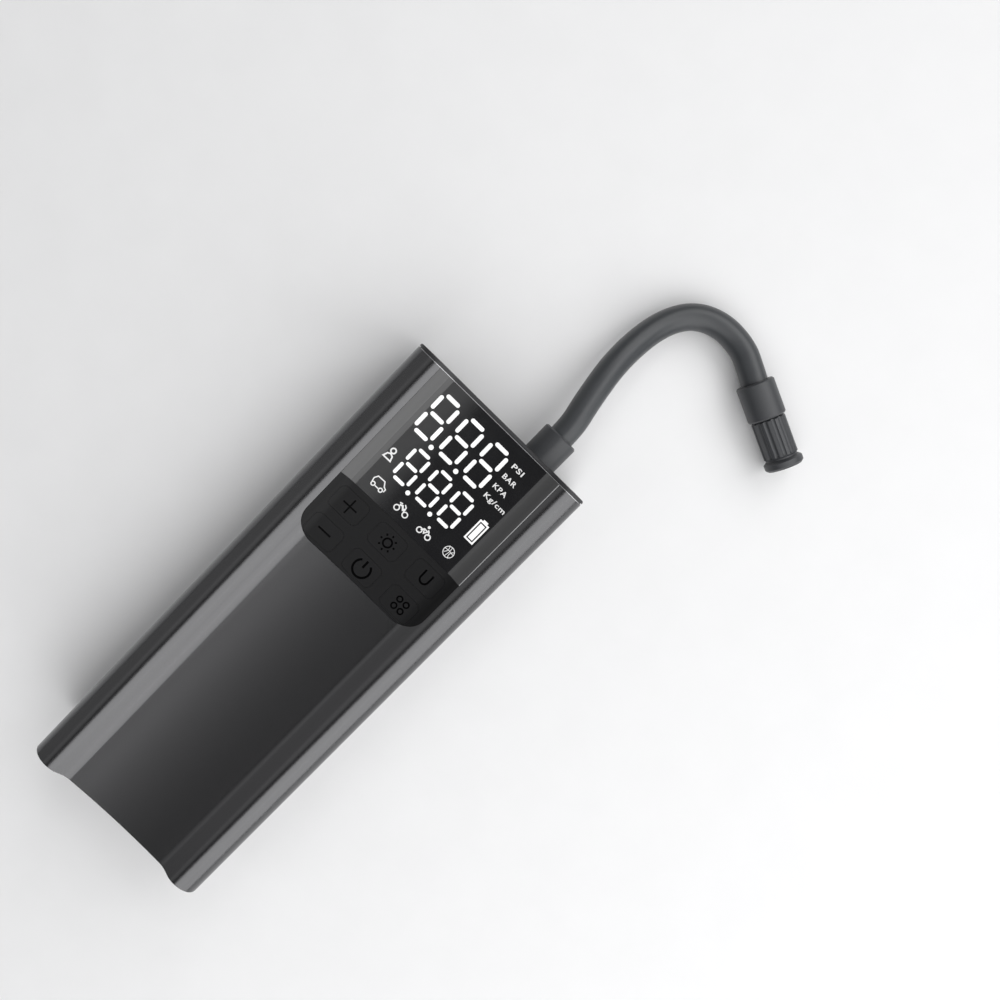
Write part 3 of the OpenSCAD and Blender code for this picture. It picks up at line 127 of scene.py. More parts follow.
def soft_light(name, lean, away, width, length, glow, along=-0.15, end_on=False):
    """A flat light that far away, leant by degrees to the right, or to the hose end if end_on."""
    lamp = bpy.data.lights.new(name, "AREA")
    lamp.shape = "RECTANGLE"
    lamp.size, lamp.size_y = (length, width) if end_on else (width, length)
    lamp.energy = glow * math.pi * width * length
    tilt = math.radians(lean)
    out, up = away * math.sin(tilt), front_level + away * math.cos(tilt)
    stand = bpy.data.objects.new(name, lamp)
    stand.location = (along, out, up) if end_on else (out, along, up)
    stand.rotation_euler = (-tilt, 0, 0) if end_on else (0, tilt, 0)
    bpy.context.scene.collection.objects.link(stand)


soft_light("right_light", lean=64, away=0.9, width=0.74, length=1.3, glow=2.0)
soft_light("right_upper_light", lean=24.5, away=0.9, width=0.58, length=1.8, glow=2.0)
soft_light("left_light", lean=-58, away=0.9, width=1.1, length=1.2, glow=0.34)
soft_light("left_upper_light", lean=-21, away=0.9, width=0.28, length=1.8, glow=0.42)
soft_light("hose_end_light", lean=55, away=1.3, width=0.8, length=1.4, glow=2.6, along=0.05,
           end_on=True)
room = bpy.data.worlds.new("dim_room")
room.use_nodes = True
room.node_tree.nodes["Background"].inputs["Color"].default_value = (0.97, 0.98, 1.0, 1)
room.node_tree.nodes["Background"].inputs["Strength"].default_value = 0.06
bpy.context.scene.world = room
bpy.context.scene.view_settings.view_transform = "Standard"

# ---- hose ----
# One length of smooth rubber pressure hose, pushed 3 mm into the collar on the cap and 3 mm into
# the ferrule. It leaves the collar level, sinks to the table and swings round to the chuck.
hose_thick = 0.0092
hose_seat = 0.003
chuck_turn = math.radians(-24)
chuck_dir = Vector((math.cos(chuck_turn), math.sin(chuck_turn), 0))
hose_stations = [Vector(p) / 1000 for p in (
    (17.2, 102.7, 16), (16.8, 109, 16), (15.4, 116, 15.4), (14.2, 123, 14.5),
    (13.3, 130, 13.2), (13.1, 137, 11.4), (13.6, 144, 9.3), (14.8, 150.6, 7.4),
    (17, 156.6, 6), (20.4, 161.6, 5.2), (25, 165, 4.9), (30.6, 166.8, 4.9),
    (36.3, 167, 5), (42, 165.9, 5.5), (46.9, 163.6, 6.1), (51.5, 161.2, 6.6))]
hose_start, hose_end = hose_stations[0], hose_stations[-1]
# A smooth line through the stations, straight where it is held at both ends.
lead, steps = 0.006, 6
spans = [hose_start - Vector((0, lead, 0)), *hose_stations, hose_end + lead * chuck_dir]
hose_line = [hose_start - Vector((0, hose_seat, 0))]
for a, b, c, d in zip(spans, spans[1:], spans[2:], spans[3:]):
    for t in (k / steps for k in range(steps)):
        hose_line.append(0.5 * (2*b + (c - a)*t + (2*a - 5*b + 4*c - d)*t*t
                                + (3*b - a - 3*c + d)*t**3))
hose_line += [hose_end, hose_end + hose_seat * chuck_dir]
hose_curve = bpy.data.curves.new("rubber_hose", "CURVE")
hose_curve.dimensions = "3D"
hose_curve.bevel_depth = hose_thick / 2
hose_curve.bevel_resolution = 8
hose_curve.use_fill_caps = True
strand = hose_curve.splines.new("POLY")
strand.points.add(len(hose_line) - 1)
for point, place in zip(strand.points, hose_line):
    point.co = (*place, 1)
strand.use_smooth = True
rubber_hose = bpy.data.objects.new("rubber_hose", hose_curve)
bpy.context.scene.collection.objects.link(rubber_hose)
hose_rubber, shader = plain_finish("hose_rubber", (0.033, 0.036, 0.040), 0.42)
shader.inputs["Specular IOR Level"].default_value = 0.6
shader.inputs["Sheen Weight"].default_value = 0.12
shader.inputs["Sheen Roughness"].default_value = 0.4
hose_curve.materials.append(
    add_grain(hose_rubber, shader, 0.0006, tone=0.05, rough=0.10, bump=0.00001))
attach(rubber_hose, "housing")
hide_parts("hose")

# ---- casing ----
# One length of extruded aluminium, bead blasted and anodised a dark gunmetal grey. The front is
# dished between two raised edges, and the ends are sawn square.


def dress(node, finish):
    """Puts a finish on a modelled part that keeps its shape."""
    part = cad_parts[node]
    part.data.materials.clear()
    part.data.materials.append(finish)


gunmetal, shader = plain_finish("gunmetal_anodising", (0.115, 0.115, 0.118), 0.24, metallic=1.0)
dress("casing", add_grain(gunmetal, shader, 0.00035, tone=0.03, rough=0.04, bump=0.0000004))

# ---- end caps and their screws ----
# Two plates moulded in black glass-filled nylon with a spark-eroded face. Each plugs into the
# casing and is held by four zinc plated countersunk screws.
cap_nylon, shader = plain_finish("cap_nylon", (0.022, 0.022, 0.024), 0.50)
cap_nylon = add_grain(cap_nylon, shader, 0.0005, tone=0.12, rough=0.12, bump=0.00003)
dress("top_cap", cap_nylon)
dress("bottom_cap", cap_nylon)
screw_zinc, shader = plain_finish("screw_zinc", (0.42, 0.42, 0.44), 0.33, metallic=1.0)
screw_zinc = add_grain(screw_zinc, shader, 0.0004, tone=0.18, rough=0.25, bump=0.000006)
dress("end_cap_screws", screw_zinc)
dress("pump_screws", screw_zinc)

# ---- inner tray and battery clamp ----
# Grey ABS mouldings. The tray slides in from the end and cradles the cells, the motor and the
# board, and the clamp bridges the cells.
tray_abs, shader = plain_finish("tray_abs", (0.20, 0.21, 0.22), 0.48)
tray_abs = add_grain(tray_abs, shader, 0.0008, tone=0.06, rough=0.10, bump=0.00002)
for moulding in ("inner_tray", "battery_clamp", "display_carrier"):
    dress(moulding, tray_abs)

# ---- cells, tabs and leads ----
# Three lithium cells in blue shrink sleeve, joined by spot welded nickel strip, and red leads
# in silicone insulation.
sleeve, shader = plain_finish("cell_sleeve", (0.03, 0.16, 0.36), 0.28)
shader.inputs["Coat Weight"].default_value = 0.4
dress("battery_cells", add_grain(sleeve, shader, 0.004, tone=0.08, rough=0.15, bump=0.00004,
                                 stretch=(1, 0.1, 1)))
nickel, shader = plain_finish("nickel_strip", (0.62, 0.60, 0.56), 0.30, metallic=1.0)
dress("battery_tabs", add_grain(nickel, shader, 0.0006, tone=0.10, rough=0.3, bump=0.00001,
                                stretch=(0.1, 1, 1)))
lead_red, shader = plain_finish("lead_insulation", (0.42, 0.03, 0.02), 0.40)
dress("wiring", add_grain(lead_red, shader, 0.001, tone=0.08, rough=0.1, bump=0.00001))

# ---- circuit boards ----
# Glass fibre boards under green or blue solder mask. The copper below shows as a faint pattern
# of tracks.


def board_mask(name, colour):
    """Solder mask of that colour over a faint net of tracks."""
    finish, shader = plain_finish(name, colour, 0.30)
    shader.inputs["Coat Weight"].default_value = 0.5
    tree = finish.node_tree
    place = tree.nodes.new("ShaderNodeTexCoord")
    fit = tree.nodes.new("ShaderNodeMapping")
    fit.inputs["Scale"].default_value = (420, 420, 1)
    tracks = tree.nodes.new("ShaderNodeTexBrick")
    tracks.inputs["Color1"].default_value = (*[c * 1.25 for c in colour], 1)
    tracks.inputs["Color2"].default_value = (*colour, 1)
    tracks.inputs["Mortar"].default_value = (*[c * 0.6 for c in colour], 1)
    tracks.inputs["Scale"].default_value = 1.0
    tracks.inputs["Mortar Size"].default_value = 0.06
    tree.links.new(place.outputs["Object"], fit.inputs["Vector"])
    tree.links.new(fit.outputs["Vector"], tracks.inputs["Vector"])
    tree.links.new(tracks.outputs["Color"], shader.inputs["Base Color"])
    return finish


dress("main_board", board_mask("green_mask", (0.02, 0.16, 0.07)))
dress("display_board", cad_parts["main_board"].data.materials[0])
dress("charge_board", board_mask("blue_mask", (0.02, 0.08, 0.20)))

# ---- charging port, sensor and lamp ----
# The port's shell is drawn steel with a nickel flash. The sensor is a black moulding on a clear
# silicone tube, and the lamp is a frosted lens over a yellow phosphor chip.
port_shell, shader = plain_finish("port_shell", (0.58, 0.58, 0.60), 0.24, metallic=1.0)
dress("usb_port", add_grain(port_shell, shader, 0.0005, tone=0.08, rough=0.2, stretch=(1, 0.1, 1)))
sensor_black, shader = plain_finish("sensor_black", (0.045, 0.045, 0.050), 0.45)
dress("pressure_sensor", add_grain(sensor_black, shader, 0.0006, tone=0.1, rough=0.1, bump=0.00001))
silicone, shader = plain_finish("silicone_tube", (0.62, 0.63, 0.64), 0.45)
shader.inputs["Subsurface Weight"].default_value = 0.2
shader.inputs["Subsurface Radius"].default_value = (0.002, 0.002, 0.002)
dress("sensor_tube", add_grain(silicone, shader, 0.001, tone=0.04, rough=0.08))
lens_frost, shader = plain_finish("lamp_lens_frost", (0.93, 0.95, 0.97), 0.28)
shader.inputs["Transmission Weight"].default_value = 0.85
shader.inputs["IOR"].default_value = 1.49
dress("lamp_lens", add_grain(lens_frost, shader, 0.0007, rough=0.2, bump=0.00004))
phosphor, shader = plain_finish("lamp_phosphor", (0.86, 0.72, 0.22), 0.55)
dress("lamp_led", add_grain(phosphor, shader, 0.0004, tone=0.08, rough=0.1, bump=0.00001))

# ---- motor ----
# A brushed motor: a drawn and zinc plated can over two ferrite arcs, a black end bell with carbon
# brushes, and a wound armature on a ground shaft with a brass pinion pressed on.
motor_finishes = {
    "motor_can": ("can_zinc", (0.50, 0.50, 0.52), 0.32, 1.0, 0.0005, (0.1, 1, 1)),
    "motor_endbell": ("endbell_nylon", (0.04, 0.04, 0.045), 0.48, 0.0, 0.0006, (1, 1, 1)),
    "motor_magnets": ("ferrite", (0.085, 0.083, 0.085), 0.62, 0.0, 0.0004, (1, 1, 1)),
    "motor_brushes": ("brush_carbon", (0.055, 0.05, 0.045), 0.55, 0.2, 0.0003, (1, 1, 1)),
    "motor_shaft": ("ground_steel", (0.52, 0.53, 0.55), 0.18, 1.0, 0.0003, (0.05, 1, 1)),
    "armature_core": ("laminations", (0.25, 0.25, 0.27), 0.42, 1.0, 0.0004, (1, 0.05, 0.05)),
    "armature_windings": ("enamelled_copper", (0.62, 0.24, 0.08), 0.25, 0.9, 0.0005, (1, 0.1, 0.1)),
    "commutator": ("commutator_copper", (0.72, 0.38, 0.20), 0.25, 1.0, 0.0003, (1, 0.1, 0.1)),
    "motor_pinion": ("pinion_brass", (0.74, 0.55, 0.22), 0.26, 1.0, 0.0004, (0.1, 1, 1)),
}
for part, (name, colour, roughness, metallic, grain, stretch) in motor_finishes.items():
    finish, shader = plain_finish(name, colour, roughness, metallic)
    dress(part, add_grain(finish, shader, grain, tone=0.14, rough=0.2, bump=0.00001,
                          stretch=stretch))

# ---- gears and pump ----
# A nylon gear on a steel crankshaft in two shielded bearings, a die cast frame, rod and head, and
# a turned alloy cylinder and piston with a rubber seal and spring steel valves.
pump_finishes = {
    "pump_frame": ("cast_alloy", (0.46, 0.47, 0.48), 0.46, 1.0, 0.0012, (1, 1, 1)),
    "drive_gear": ("gear_nylon", (0.72, 0.71, 0.66), 0.42, 0.0, 0.0010, (1, 1, 1)),
    "crankshaft": ("crank_steel", (0.40, 0.41, 0.43), 0.28, 1.0, 0.0004, (0.1, 1, 1)),
    "gear_bearings": ("bearing_steel", (0.58, 0.59, 0.61), 0.20, 1.0, 0.0004, (1, 1, 1)),
    "connecting_rod": ("rod_alloy", (0.52, 0.53, 0.55), 0.42, 1.0, 0.0008, (1, 1, 1)),
    "big_end_bush": ("oil_bronze", (0.56, 0.40, 0.17), 0.38, 1.0, 0.0004, (1, 1, 1)),
    "wrist_pin": ("pin_steel", (0.62, 0.63, 0.65), 0.15, 1.0, 0.0003, (0.05, 1, 1)),
    "piston": ("piston_alloy", (0.60, 0.61, 0.63), 0.28, 1.0, 0.0004, (1, 0.05, 1)),
    "piston_seal": ("seal_nitrile", (0.020, 0.020, 0.021), 0.55, 0.0, 0.0006, (1, 1, 1)),
    "intake_flap": ("flap_steel", (0.30, 0.32, 0.38), 0.25, 1.0, 0.0004, (0.1, 1, 1)),
    "pump_cylinder": ("cylinder_alloy", (0.56, 0.57, 0.59), 0.32, 1.0, 0.0004, (1, 0.05, 1)),
    "cylinder_head": ("head_casting", (0.44, 0.45, 0.46), 0.48, 1.0, 0.0012, (1, 1, 1)),
    "valve_plate": ("plate_alloy", (0.50, 0.51, 0.53), 0.30, 1.0, 0.0004, (1, 1, 0.1)),
    "outlet_reed": ("reed_steel", (0.33, 0.36, 0.44), 0.22, 1.0, 0.0004, (0.1, 1, 1)),
    "outlet_tube": ("tube_rubber", (0.025, 0.025, 0.027), 0.55, 0.0, 0.0008, (1, 0.1, 1)),
    "outlet_fitting": ("fitting_brass", (0.72, 0.53, 0.21), 0.27, 1.0, 0.0004, (1, 0.1, 1)),
}
for part, (name, colour, roughness, metallic, grain, stretch) in pump_finishes.items():
    finish, shader = plain_finish(name, colour, roughness, metallic)
    dress(part, add_grain(finish, shader, grain, tone=0.12, rough=0.2, bump=0.00001,
                          stretch=stretch))

# ---- display module and key switches ----
# A white light box that carries the digits' chambers, soldered to the board, and six low dome
# switches beside it.
box_white, shader = plain_finish("light_box_white", (0.78, 0.78, 0.76), 0.45)
dress("display_module", add_grain(box_white, shader, 0.0008, tone=0.03, rough=0.1, bump=0.00001))
switch_grey, shader = plain_finish("switch_grey", (0.45, 0.45, 0.43), 0.42)
dress("key_switches", add_grain(switch_grey, shader, 0.0005, tone=0.08, rough=0.15, bump=0.00001))

# ---- display window ----
# A sheet of smoked acrylic, heat formed to the casing's front and set flush in it. Its back is
# painted black across the dish, so only the lit signs show, and grey along both slopes. On the
# left a painted reflection fades from the grey into the black under the first digit: the light from
# the right glinting in the window.
smoked, shader = plain_finish("smoked_acrylic", (0.010, 0.010, 0.011), 0.16)
shader.inputs["IOR"].default_value = 1.49
shader.inputs["Coat Weight"].default_value = 0.25
shader.inputs["Coat Roughness"].default_value = 0.03
smoked = add_grain(smoked, shader, 0.006, tone=0.04, rough=0.12)
band_middle, band_x = -0.00065, 0.02145
tree = smoked.node_tree
grey_paint_and_painted_reflection = tree.nodes.new("ShaderNodeBsdfPrincipled")
for socket, value in (("Base Color", (0.052, 0.052, 0.053, 1)), ("Roughness", 0.17),
                      ("IOR", 1.49), ("Coat Weight", 0.25)):
    grey_paint_and_painted_reflection.inputs[socket].default_value = value
place = tree.nodes.new("ShaderNodeTexCoord")
split = tree.nodes.new("ShaderNodeSeparateXYZ")
off_middle = tree.nodes.new("ShaderNodeMath")
off_middle.operation = "SUBTRACT"
off_middle.inputs[1].default_value = band_middle
side = tree.nodes.new("ShaderNodeMath")
side.operation = "ABSOLUTE"
past = tree.nodes.new("ShaderNodeMath")
past.operation = "GREATER_THAN"
past.inputs[1].default_value = band_x
# Painted reflection: the grey fades into the black towards the left, standing in for the light from
# the right glinting in the glossy window.
painted_reflection_fade = tree.nodes.new("ShaderNodeMapRange")
painted_reflection_fade.interpolation_type = "SMOOTHSTEP"
for end, value in (("From Min", -0.0065), ("From Max", -0.0155), ("To Min", 0.0), ("To Max", 0.6)):
    painted_reflection_fade.inputs[end].default_value = value
band_mask_and_painted_reflection = tree.nodes.new("ShaderNodeMath")
band_mask_and_painted_reflection.operation = "MAXIMUM"
painted = tree.nodes.new("ShaderNodeMixShader")
for giver, output, taker, socket in (
        (place, "Object", split, "Vector"), (split, "X", off_middle, 0),
        (off_middle, "Value", side, 0), (side, "Value", past, 0),
        (split, "X", painted_reflection_fade, "Value"), (past, "Value", band_mask_and_painted_reflection, 0),
        (painted_reflection_fade, "Result", band_mask_and_painted_reflection, 1), (band_mask_and_painted_reflection, "Value", painted, "Fac"),
        (shader, "BSDF", painted, 1), (grey_paint_and_painted_reflection, "BSDF", painted, 2),
        (painted, "Shader", tree.nodes["Material Output"], "Surface")):
    tree.links.new(giver.outputs[output], taker.inputs[socket])
dress("display_window", smoked)

# ---- lit digits ----
# Two rows of three seven-bar digits with their points. Each bar is a slot in the black paint that
# the white light box shines through.
# The casing's front is a raised edge, a slope and the dish: three arcs that meet without a corner.
edge_radius, slope_radius, dish_radius = 0.007, 0.007, 0.235
half_width, edge_top, dish_bottom = 0.036, 0.038, 0.0336
edge_centre = Vector((half_width - edge_radius, edge_top - edge_radius))
dish_centre = Vector((0, dish_bottom + dish_radius))
gap = (dish_centre - edge_centre).length
along = ((edge_radius + slope_radius)**2 - (dish_radius - slope_radius)**2 + gap**2) / (2 * gap)
across = math.sqrt((edge_radius + slope_radius)**2 - along**2)
to_dish = (dish_centre - edge_centre) / gap
slope_centre = edge_centre + along * to_dish + across * Vector((-to_dish.y, to_dish.x))
slope_foot = dish_centre + dish_radius / (dish_radius - slope_radius) * (slope_centre - dish_centre)
slope_head = edge_centre + (slope_centre - edge_centre) * edge_radius / (edge_radius + slope_radius)


def front_height(x):
    """Height of the casing's front at x, over the dish, its two slopes and the raised edges."""
    x = abs(x)
    if x <= slope_foot.x:
        return dish_centre.y - math.sqrt(dish_radius**2 - x**2)
    if x <= slope_head.x:
        return slope_centre.y - math.sqrt(slope_radius**2 - (x - slope_centre.x)**2)
    return edge_centre.y + math.sqrt(edge_radius**2 - (x - edge_centre.x)**2)


def rounded_bar(x, y, length, width, upright, steps=6):
    """Outline of a bar with round ends, centred at x, y, in millimetres."""
    r, reach = width / 2, (length - width) / 2
    outline = []
    for end, start in ((1, -90), (-1, 90)):
        for k in range(steps + 1):
            a = math.radians(start + 180 * k / steps)
            u, v = end * reach + r * math.cos(a), r * math.sin(a)
            outline.append((x - v, y + u) if upright else (x + u, y + v))
    return outline


def disc(x, y, r, steps=20):
    """Outline of a round spot."""
    return [(x + r * math.cos(math.tau * k / steps), y + r * math.sin(math.tau * k / steps))
            for k in range(steps)]


def printed(name, outlines, body, finish, lift=0.03, depth=0.06):
    """Thin closed pieces on the front, from flat outlines in millimetres."""
    shape = bmesh.new()
    for outline in outlines:
        top = [shape.verts.new((x / 1000, y / 1000, front_height(x / 1000) + lift / 1000))
               for x, y in outline]
        low = [shape.verts.new((v.co.x, v.co.y, v.co.z - depth / 1000)) for v in top]
        shape.faces.new(top)
        shape.faces.new(low[::-1])
        for k in range(len(top)):
            n = (k + 1) % len(top)
            shape.faces.new((top[k], low[k], low[n], top[n]))
    bmesh.ops.recalc_face_normals(shape, faces=shape.faces)
    mesh = bpy.data.meshes.new(name)
    shape.to_mesh(mesh)
    shape.free()
    piece = bpy.data.objects.new(name, mesh)
    piece.data.materials.append(finish)
    bpy.context.scene.collection.objects.link(piece)
    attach(piece, body)
    return piece


def seven_bars(x, y, spread, rise, length, width):
    """An 8: two uprights a side and three bars across."""
    bars = [rounded_bar(x + s * spread / 2, y + t * rise / 2, length, width, True)
            for s in (-1, 1) for t in (-1, 1)]
    return bars + [rounded_bar(x, y + t * rise, length, width, False) for t in (-1, 0, 1)]


def lit_finish(name, glow):
    """White light through a slot, with the slot's own face nearly black."""
    finish, shader = plain_finish(name, (0.04, 0.04, 0.04), 0.50)
    shader.inputs["Emission Color"].default_value = (1.0, 1.0, 1.0, 1)
    shader.inputs["Emission Strength"].default_value = glow
    return add_grain(finish, shader, 0.002, tone=0.01, rough=0.05)


lit_white = lit_finish("lit_white", 1.0)
lit_dim = lit_finish("lit_dim", 0.78)
upper_digits = [bar for x in (-16.1, -5.35, 5.4)
                for bar in seven_bars(x, 79.1, spread=6.8, rise=7.3, length=5.4, width=1.4)]
upper_digits += [disc(x, 71.1, 0.85) for x in (-11.0, -0.1)]
printed("upper_digits", upper_digits, "housing", lit_white)
lower_digits = [bar for x in (-11.0, -1.25, 8.4)
                for bar in seven_bars(x, 62.2, spread=6.0, rise=5.9, length=4.5, width=1.2)]
lower_digits += [disc(x, 55.5, 0.8) for x in (-6.25, 3.5)]
printed("lower_digits", lower_digits, "housing", lit_white)

# ---- lit signs ----
# The rest of the display: a battery gauge, five mode signs under and beside the digits, and the
# four pressure units on their right. Their slots in the paint are finer, so they look dimmer.


def stroke(points, width, closed=False):
    """Both rails of a line of that width, as pairs of points, mitred at the corners."""
    pts = [Vector(p) for p in points]
    count = len(pts)
    rails = []
    for k, p in enumerate(pts):
        before = pts[k - 1] if closed or k > 0 else None
        after = pts[(k + 1) % count] if closed or k < count - 1 else None
        d0 = (p - before).normalized() if before is not None else (after - p).normalized()
        d1 = (after - p).normalized() if after is not None else d0
        n0, n1 = Vector((-d0.y, d0.x)), Vector((-d1.y, d1.x))
        side = (n0 + n1).normalized()
        side = side * (width / 2 / max(0.5, side.dot(n0)))
        rails.append((p + side, p - side))
    return rails


def line_sign(lines):
    """Closed outlines of each line's links, four corners each."""
    outlines = []
    for points, width, closed in lines:
        rails = stroke(points, width, closed)
        count = len(rails)
        for k in range(count if closed else count - 1):
            (a, b), (c, d) = rails[k], rails[(k + 1) % count]
            outlines.append([tuple(a), tuple(b), tuple(d), tuple(c)])
    return outlines


def ring(x, y, r, width, steps=20):
    """A closed round line whose outer edge has that radius."""
    return (disc(x, y, r - width / 2, steps), width, True)


def bend(x, y, r, start, end, width, steps=16):
    """Part of a ring, from start to end in degrees."""
    turn = [math.radians(start + (end - start) * k / steps) for k in range(steps + 1)]
    return ([(x + r * math.cos(a), y + r * math.sin(a)) for a in turn], width, False)


battery = line_sign([([(16.5, 58.2), (19.7, 58.2), (19.7, 65.6), (16.5, 65.6)], 0.55, True)])
battery += [[(17.2, 58.9), (19.0, 58.9), (19.0, 64.9), (17.2, 64.9)],
            [(17.2, 65.8), (19.0, 65.8), (19.0, 66.5), (17.2, 66.5)]]
printed("battery_sign", battery, "housing", lit_white)
thin = 0.40
person = line_sign([ring(-18.7, 62.0, 1.1, 0.5), ([(-20.2, 58.8), (-17.2, 58.8), (-17.7, 60.3),
                    (-18.7, 60.8), (-19.7, 60.3)], 0.5, True)])
car = line_sign([ring(-16.3, 50.0, 0.85, thin), ring(-13.1, 50.0, 0.85, thin),
                 ([(-17.0, 50.3), (-17.3, 51.6), (-16.6, 52.9), (-13.9, 53.0), (-12.9, 51.6),
                   (-12.0, 51.2), (-12.0, 50.2)], thin, False),
                 ([(-15.4, 49.9), (-14.0, 49.9)], thin, False)])
motorcycle = line_sign([ring(-5.6, 49.7, 1.1, thin), ring(-2.0, 49.7, 1.1, thin),
                        ([(-5.5, 51.0), (-4.5, 51.4), (-3.6, 50.4), (-3.0, 51.2)], 0.6, False),
                        ([(-3.0, 49.9), (-3.2, 51.6), (-4.1, 52.2)], thin, False),
                        ([(-5.9, 51.6), (-4.9, 51.9)], thin, False)])
bicycle = line_sign([ring(4.6, 49.6, 1.1, thin), ring(8.2, 49.6, 1.1, thin),
                     ([(4.9, 49.9), (5.6, 51.0), (7.0, 50.9), (6.3, 49.7), (5.7, 50.7)], thin,
                      False),
                     ([(8.0, 50.0), (7.4, 51.2), (6.8, 51.5)], thin, False)])
bicycle.append(disc(6.4, 52.3, 0.5, 12))
ball = line_sign([ring(16.3, 51.05, 2.0, 0.24, 28),
                  ([(14.4, 51.3), (16.3, 51.5), (18.2, 51.2)], 0.2, False),
                  ([(16.1, 49.2), (16.4, 51.05), (16.3, 52.9)], 0.2, False),
                  bend(13.9, 51.6, 1.8, -55, 45, 0.2, 8), bend(18.7, 50.6, 1.8, 125, 225, 0.2, 8)])
printed("mode_signs", person + car + motorcycle + bicycle + ball, "housing", lit_dim)


capital_share, bolder = 0.73, 0.00004


def printed_word(name, words, body, finish, lift=0.03, depth=0.06):
    """Words from x, y, with capitals of that height and words of that width, all in millimetres."""
    shape = bmesh.new()
    for word, x, y, height, width in words:
        letters = bpy.data.curves.new(word, "FONT")
        letters.body = word
        letters.size = height / capital_share / 1000
        letters.offset = bolder
        letters.space_character = 1.12
        letters.extrude = depth / 2000
        letters.resolution_u = 3
        setting = bpy.data.objects.new(word, letters)
        bpy.context.scene.collection.objects.link(setting)
        flat = setting.evaluated_get(bpy.context.evaluated_depsgraph_get()).to_mesh()
        start = len(shape.verts)
        shape.from_mesh(flat)
        shape.verts.ensure_lookup_table()
        left = min(vert.co.x for vert in shape.verts[start:])
        right = max(vert.co.x for vert in shape.verts[start:])
        for vert in shape.verts[start:]:
            vert.co.x = (x + (vert.co.x - left) / (right - left) * width) / 1000
            vert.co.y += y / 1000
            vert.co.z += front_height(vert.co.x) + (lift - depth / 2) / 1000
        bpy.data.objects.remove(setting)
    bmesh.ops.remove_doubles(shape, verts=shape.verts, dist=1e-7)
    mesh = bpy.data.meshes.new(name)
    shape.to_mesh(mesh)
    shape.free()
    piece = bpy.data.objects.new(name, mesh)
    piece.data.materials.append(finish)
    bpy.context.scene.collection.objects.link(piece)
    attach(piece, body)


printed_word("unit_words", [("PSI", 11.5, 84.3, 1.8, 4.5), ("BAR", 11.5, 80.1, 1.8, 5.3),
                            ("KPA", 11.5, 75.8, 1.8, 5.4), ("Kg/cm", 11.5, 71.7, 1.8, 8.7)],
             "housing", lit_dim)

# ---- keypad and keys ----
# A sheet of matte black film under the window, cut round six keys of the same film on moulded
# caps. Each key's sign is screened on in deep black.
film_black, shader = plain_finish("keypad_film", (0.0085, 0.0085, 0.009), 0.50)
shader.inputs["Specular IOR Level"].default_value = 0.16
film_black = add_grain(film_black, shader, 0.0004, tone=0.10, rough=0.10, bump=0.00001)
key_names = ("key_plus", "key_minus", "key_light", "key_power", "key_unit", "key_mode")
for part in ("keypad_panel", *key_names):
    dress(part, film_black)
ink_black, shader = plain_finish("key_ink", (0.0004, 0.0004, 0.0005), 0.25)
shader.inputs["Specular IOR Level"].default_value = 0.05
ink_black = add_grain(ink_black, shader, 0.0005, tone=0.05, rough=0.1)
pen = 0.6
sun_x, sun_y = 0.3, 39.3
unit_x, unit_y, unit_r = 16.95, 39.2, 1.55
mode_x, mode_y, mode_step = 17.2, 27.6, 1.42
sun_rays = [([(sun_x + r * math.cos(a), sun_y + r * math.sin(a)) for r in (2.35, 3.05)], pen, False)
            for a in (math.tau * k / 8 for k in range(8))]
unit_round = [(unit_x + unit_r * math.cos(a), unit_y + unit_r * math.sin(a))
              for a in (math.pi + math.pi * k / 12 for k in range(1, 12))]
key_signs = {
    "key_plus": [([(-19.2, 39.4), (-13.6, 39.4)], 0.55, False),
                 ([(-16.4, 36.6), (-16.4, 42.2)], 0.55, False)],
    "key_minus": [([(-19.3, 27.8), (-14.2, 27.8)], 0.6, False)],
    "key_light": [ring(sun_x, sun_y, 1.8, pen), *sun_rays],
    "key_power": [bend(0.1, 27.4, 3.05, 128, 412, 0.75, 28),
                  ([(0.1, 27.8), (0.1, 30.6)], 0.75, False)],
    "key_unit": [([(15.4, 42.0), (15.4, 39.2), *unit_round, (18.5, 39.2), (18.5, 42.0)],
                  0.65, False)],
    "key_mode": [ring(mode_x + mode_step * s, mode_y + mode_step * t, 1.2, 0.52, 16)
                 for s in (-1, 1) for t in (-1, 1)],
}
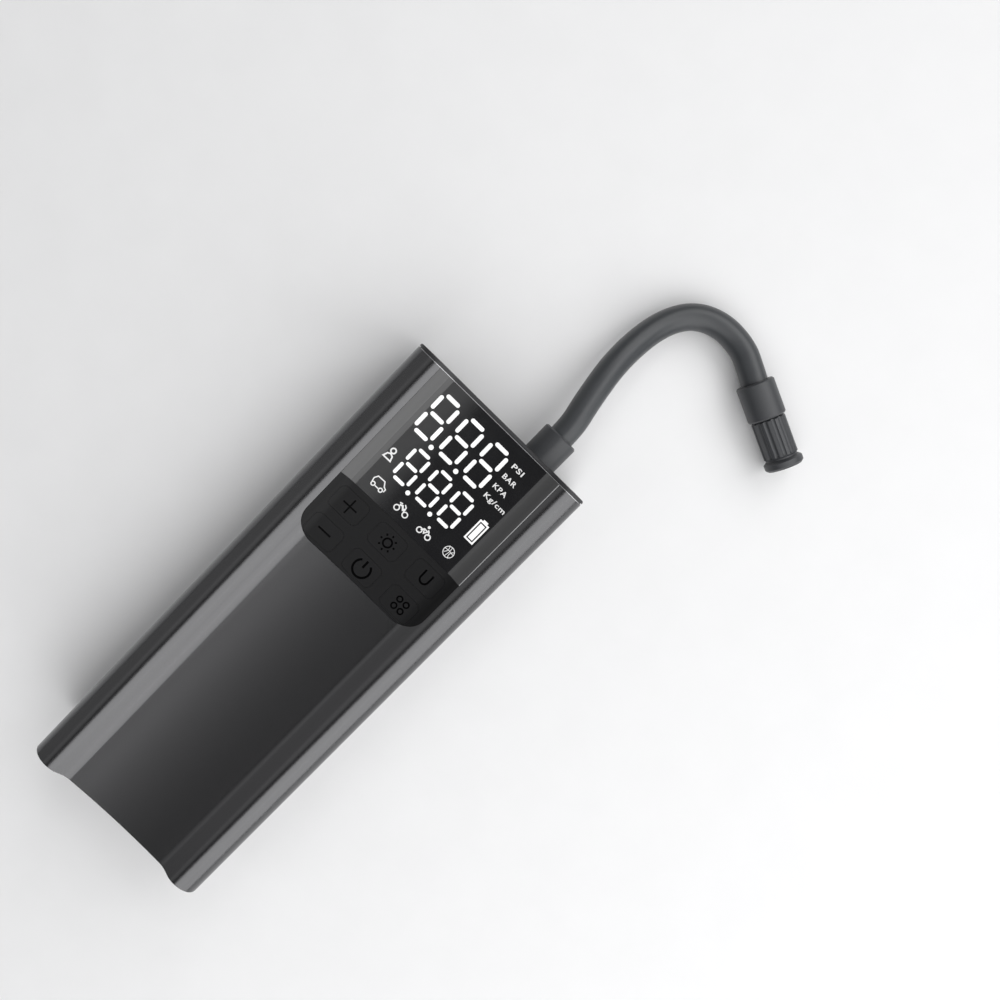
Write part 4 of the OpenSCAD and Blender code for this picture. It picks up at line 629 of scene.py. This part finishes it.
for key, lines in key_signs.items():
    printed(key + "_sign", line_sign(lines), key, ink_black, lift=0.02, depth=0.05)

# ---- painted highlight on the window edge ----
# A painted highlight: a hairline strip of light grey down the right side of the window, where the
# recess is deepest, stands in for the window's edge catching the light from the right.
painted_edge_highlight, shader = plain_finish("window_edge_painted_highlight", (0.50, 0.50, 0.51), 0.45, metallic=0.35)
painted_edge_highlight = add_grain(painted_edge_highlight, shader, 0.0004, tone=0.06, rough=0.1, stretch=(1, 0.05, 1))
inner_x, outer_x, keypad_y, end_y = 25.86, 26.10, 46.1, 91.0
hairline = [(inner_x, keypad_y), (outer_x, keypad_y), (outer_x, end_y), (inner_x, end_y)]
printed("window_edge", [hairline], "housing", painted_edge_highlight, lift=0.02, depth=0.2)

# ---- painted highlight along the casing's hose end ----
# The casing is sawn to length. A strip of bright metal along the corner of its hose end is a
# painted highlight, standing in for the light that this edge catches.
painted_end_highlight, shader = plain_finish("end_edge_painted_highlight", (0.42, 0.42, 0.43), 0.38, metallic=1.0)
painted_end_highlight = add_grain(painted_end_highlight, shader, 0.0004, tone=0.08, rough=0.1, stretch=(0.1, 1, 1))
sawn_reach, sawn_y0, sawn_y1, links = 34.6, 91.08, 91.28, 60
edge_x = [-sawn_reach + 2 * sawn_reach * k / links for k in range(links + 1)]
edge_links = [[(a, sawn_y0), (b, sawn_y0), (b, sawn_y1), (a, sawn_y1)]
              for a, b in zip(edge_x, edge_x[1:])]
printed("sawn_edge", edge_links, "housing", painted_end_highlight, lift=0.02, depth=0.1)

# ---- collar, ferrule and nozzle ----
# The collar and the ferrule are satin mouldings crimped on the hose's ends. The screw-on nozzle
# has a fluted grip, with a rubber seal and a brass pin down its mouth.
satin_grey, shader = plain_finish("satin_moulding", (0.035, 0.037, 0.041), 0.44)
shader.inputs["Specular IOR Level"].default_value = 0.6
satin_grey = add_grain(satin_grey, shader, 0.0005, tone=0.06, rough=0.10, bump=0.00001)
for part in ("hose_collar", "hose_ferrule", "chuck_nozzle"):
    dress(part, satin_grey)
dress("chuck_seal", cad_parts["piston_seal"].data.materials[0])
dress("core_pin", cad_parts["outlet_fitting"].data.materials[0])
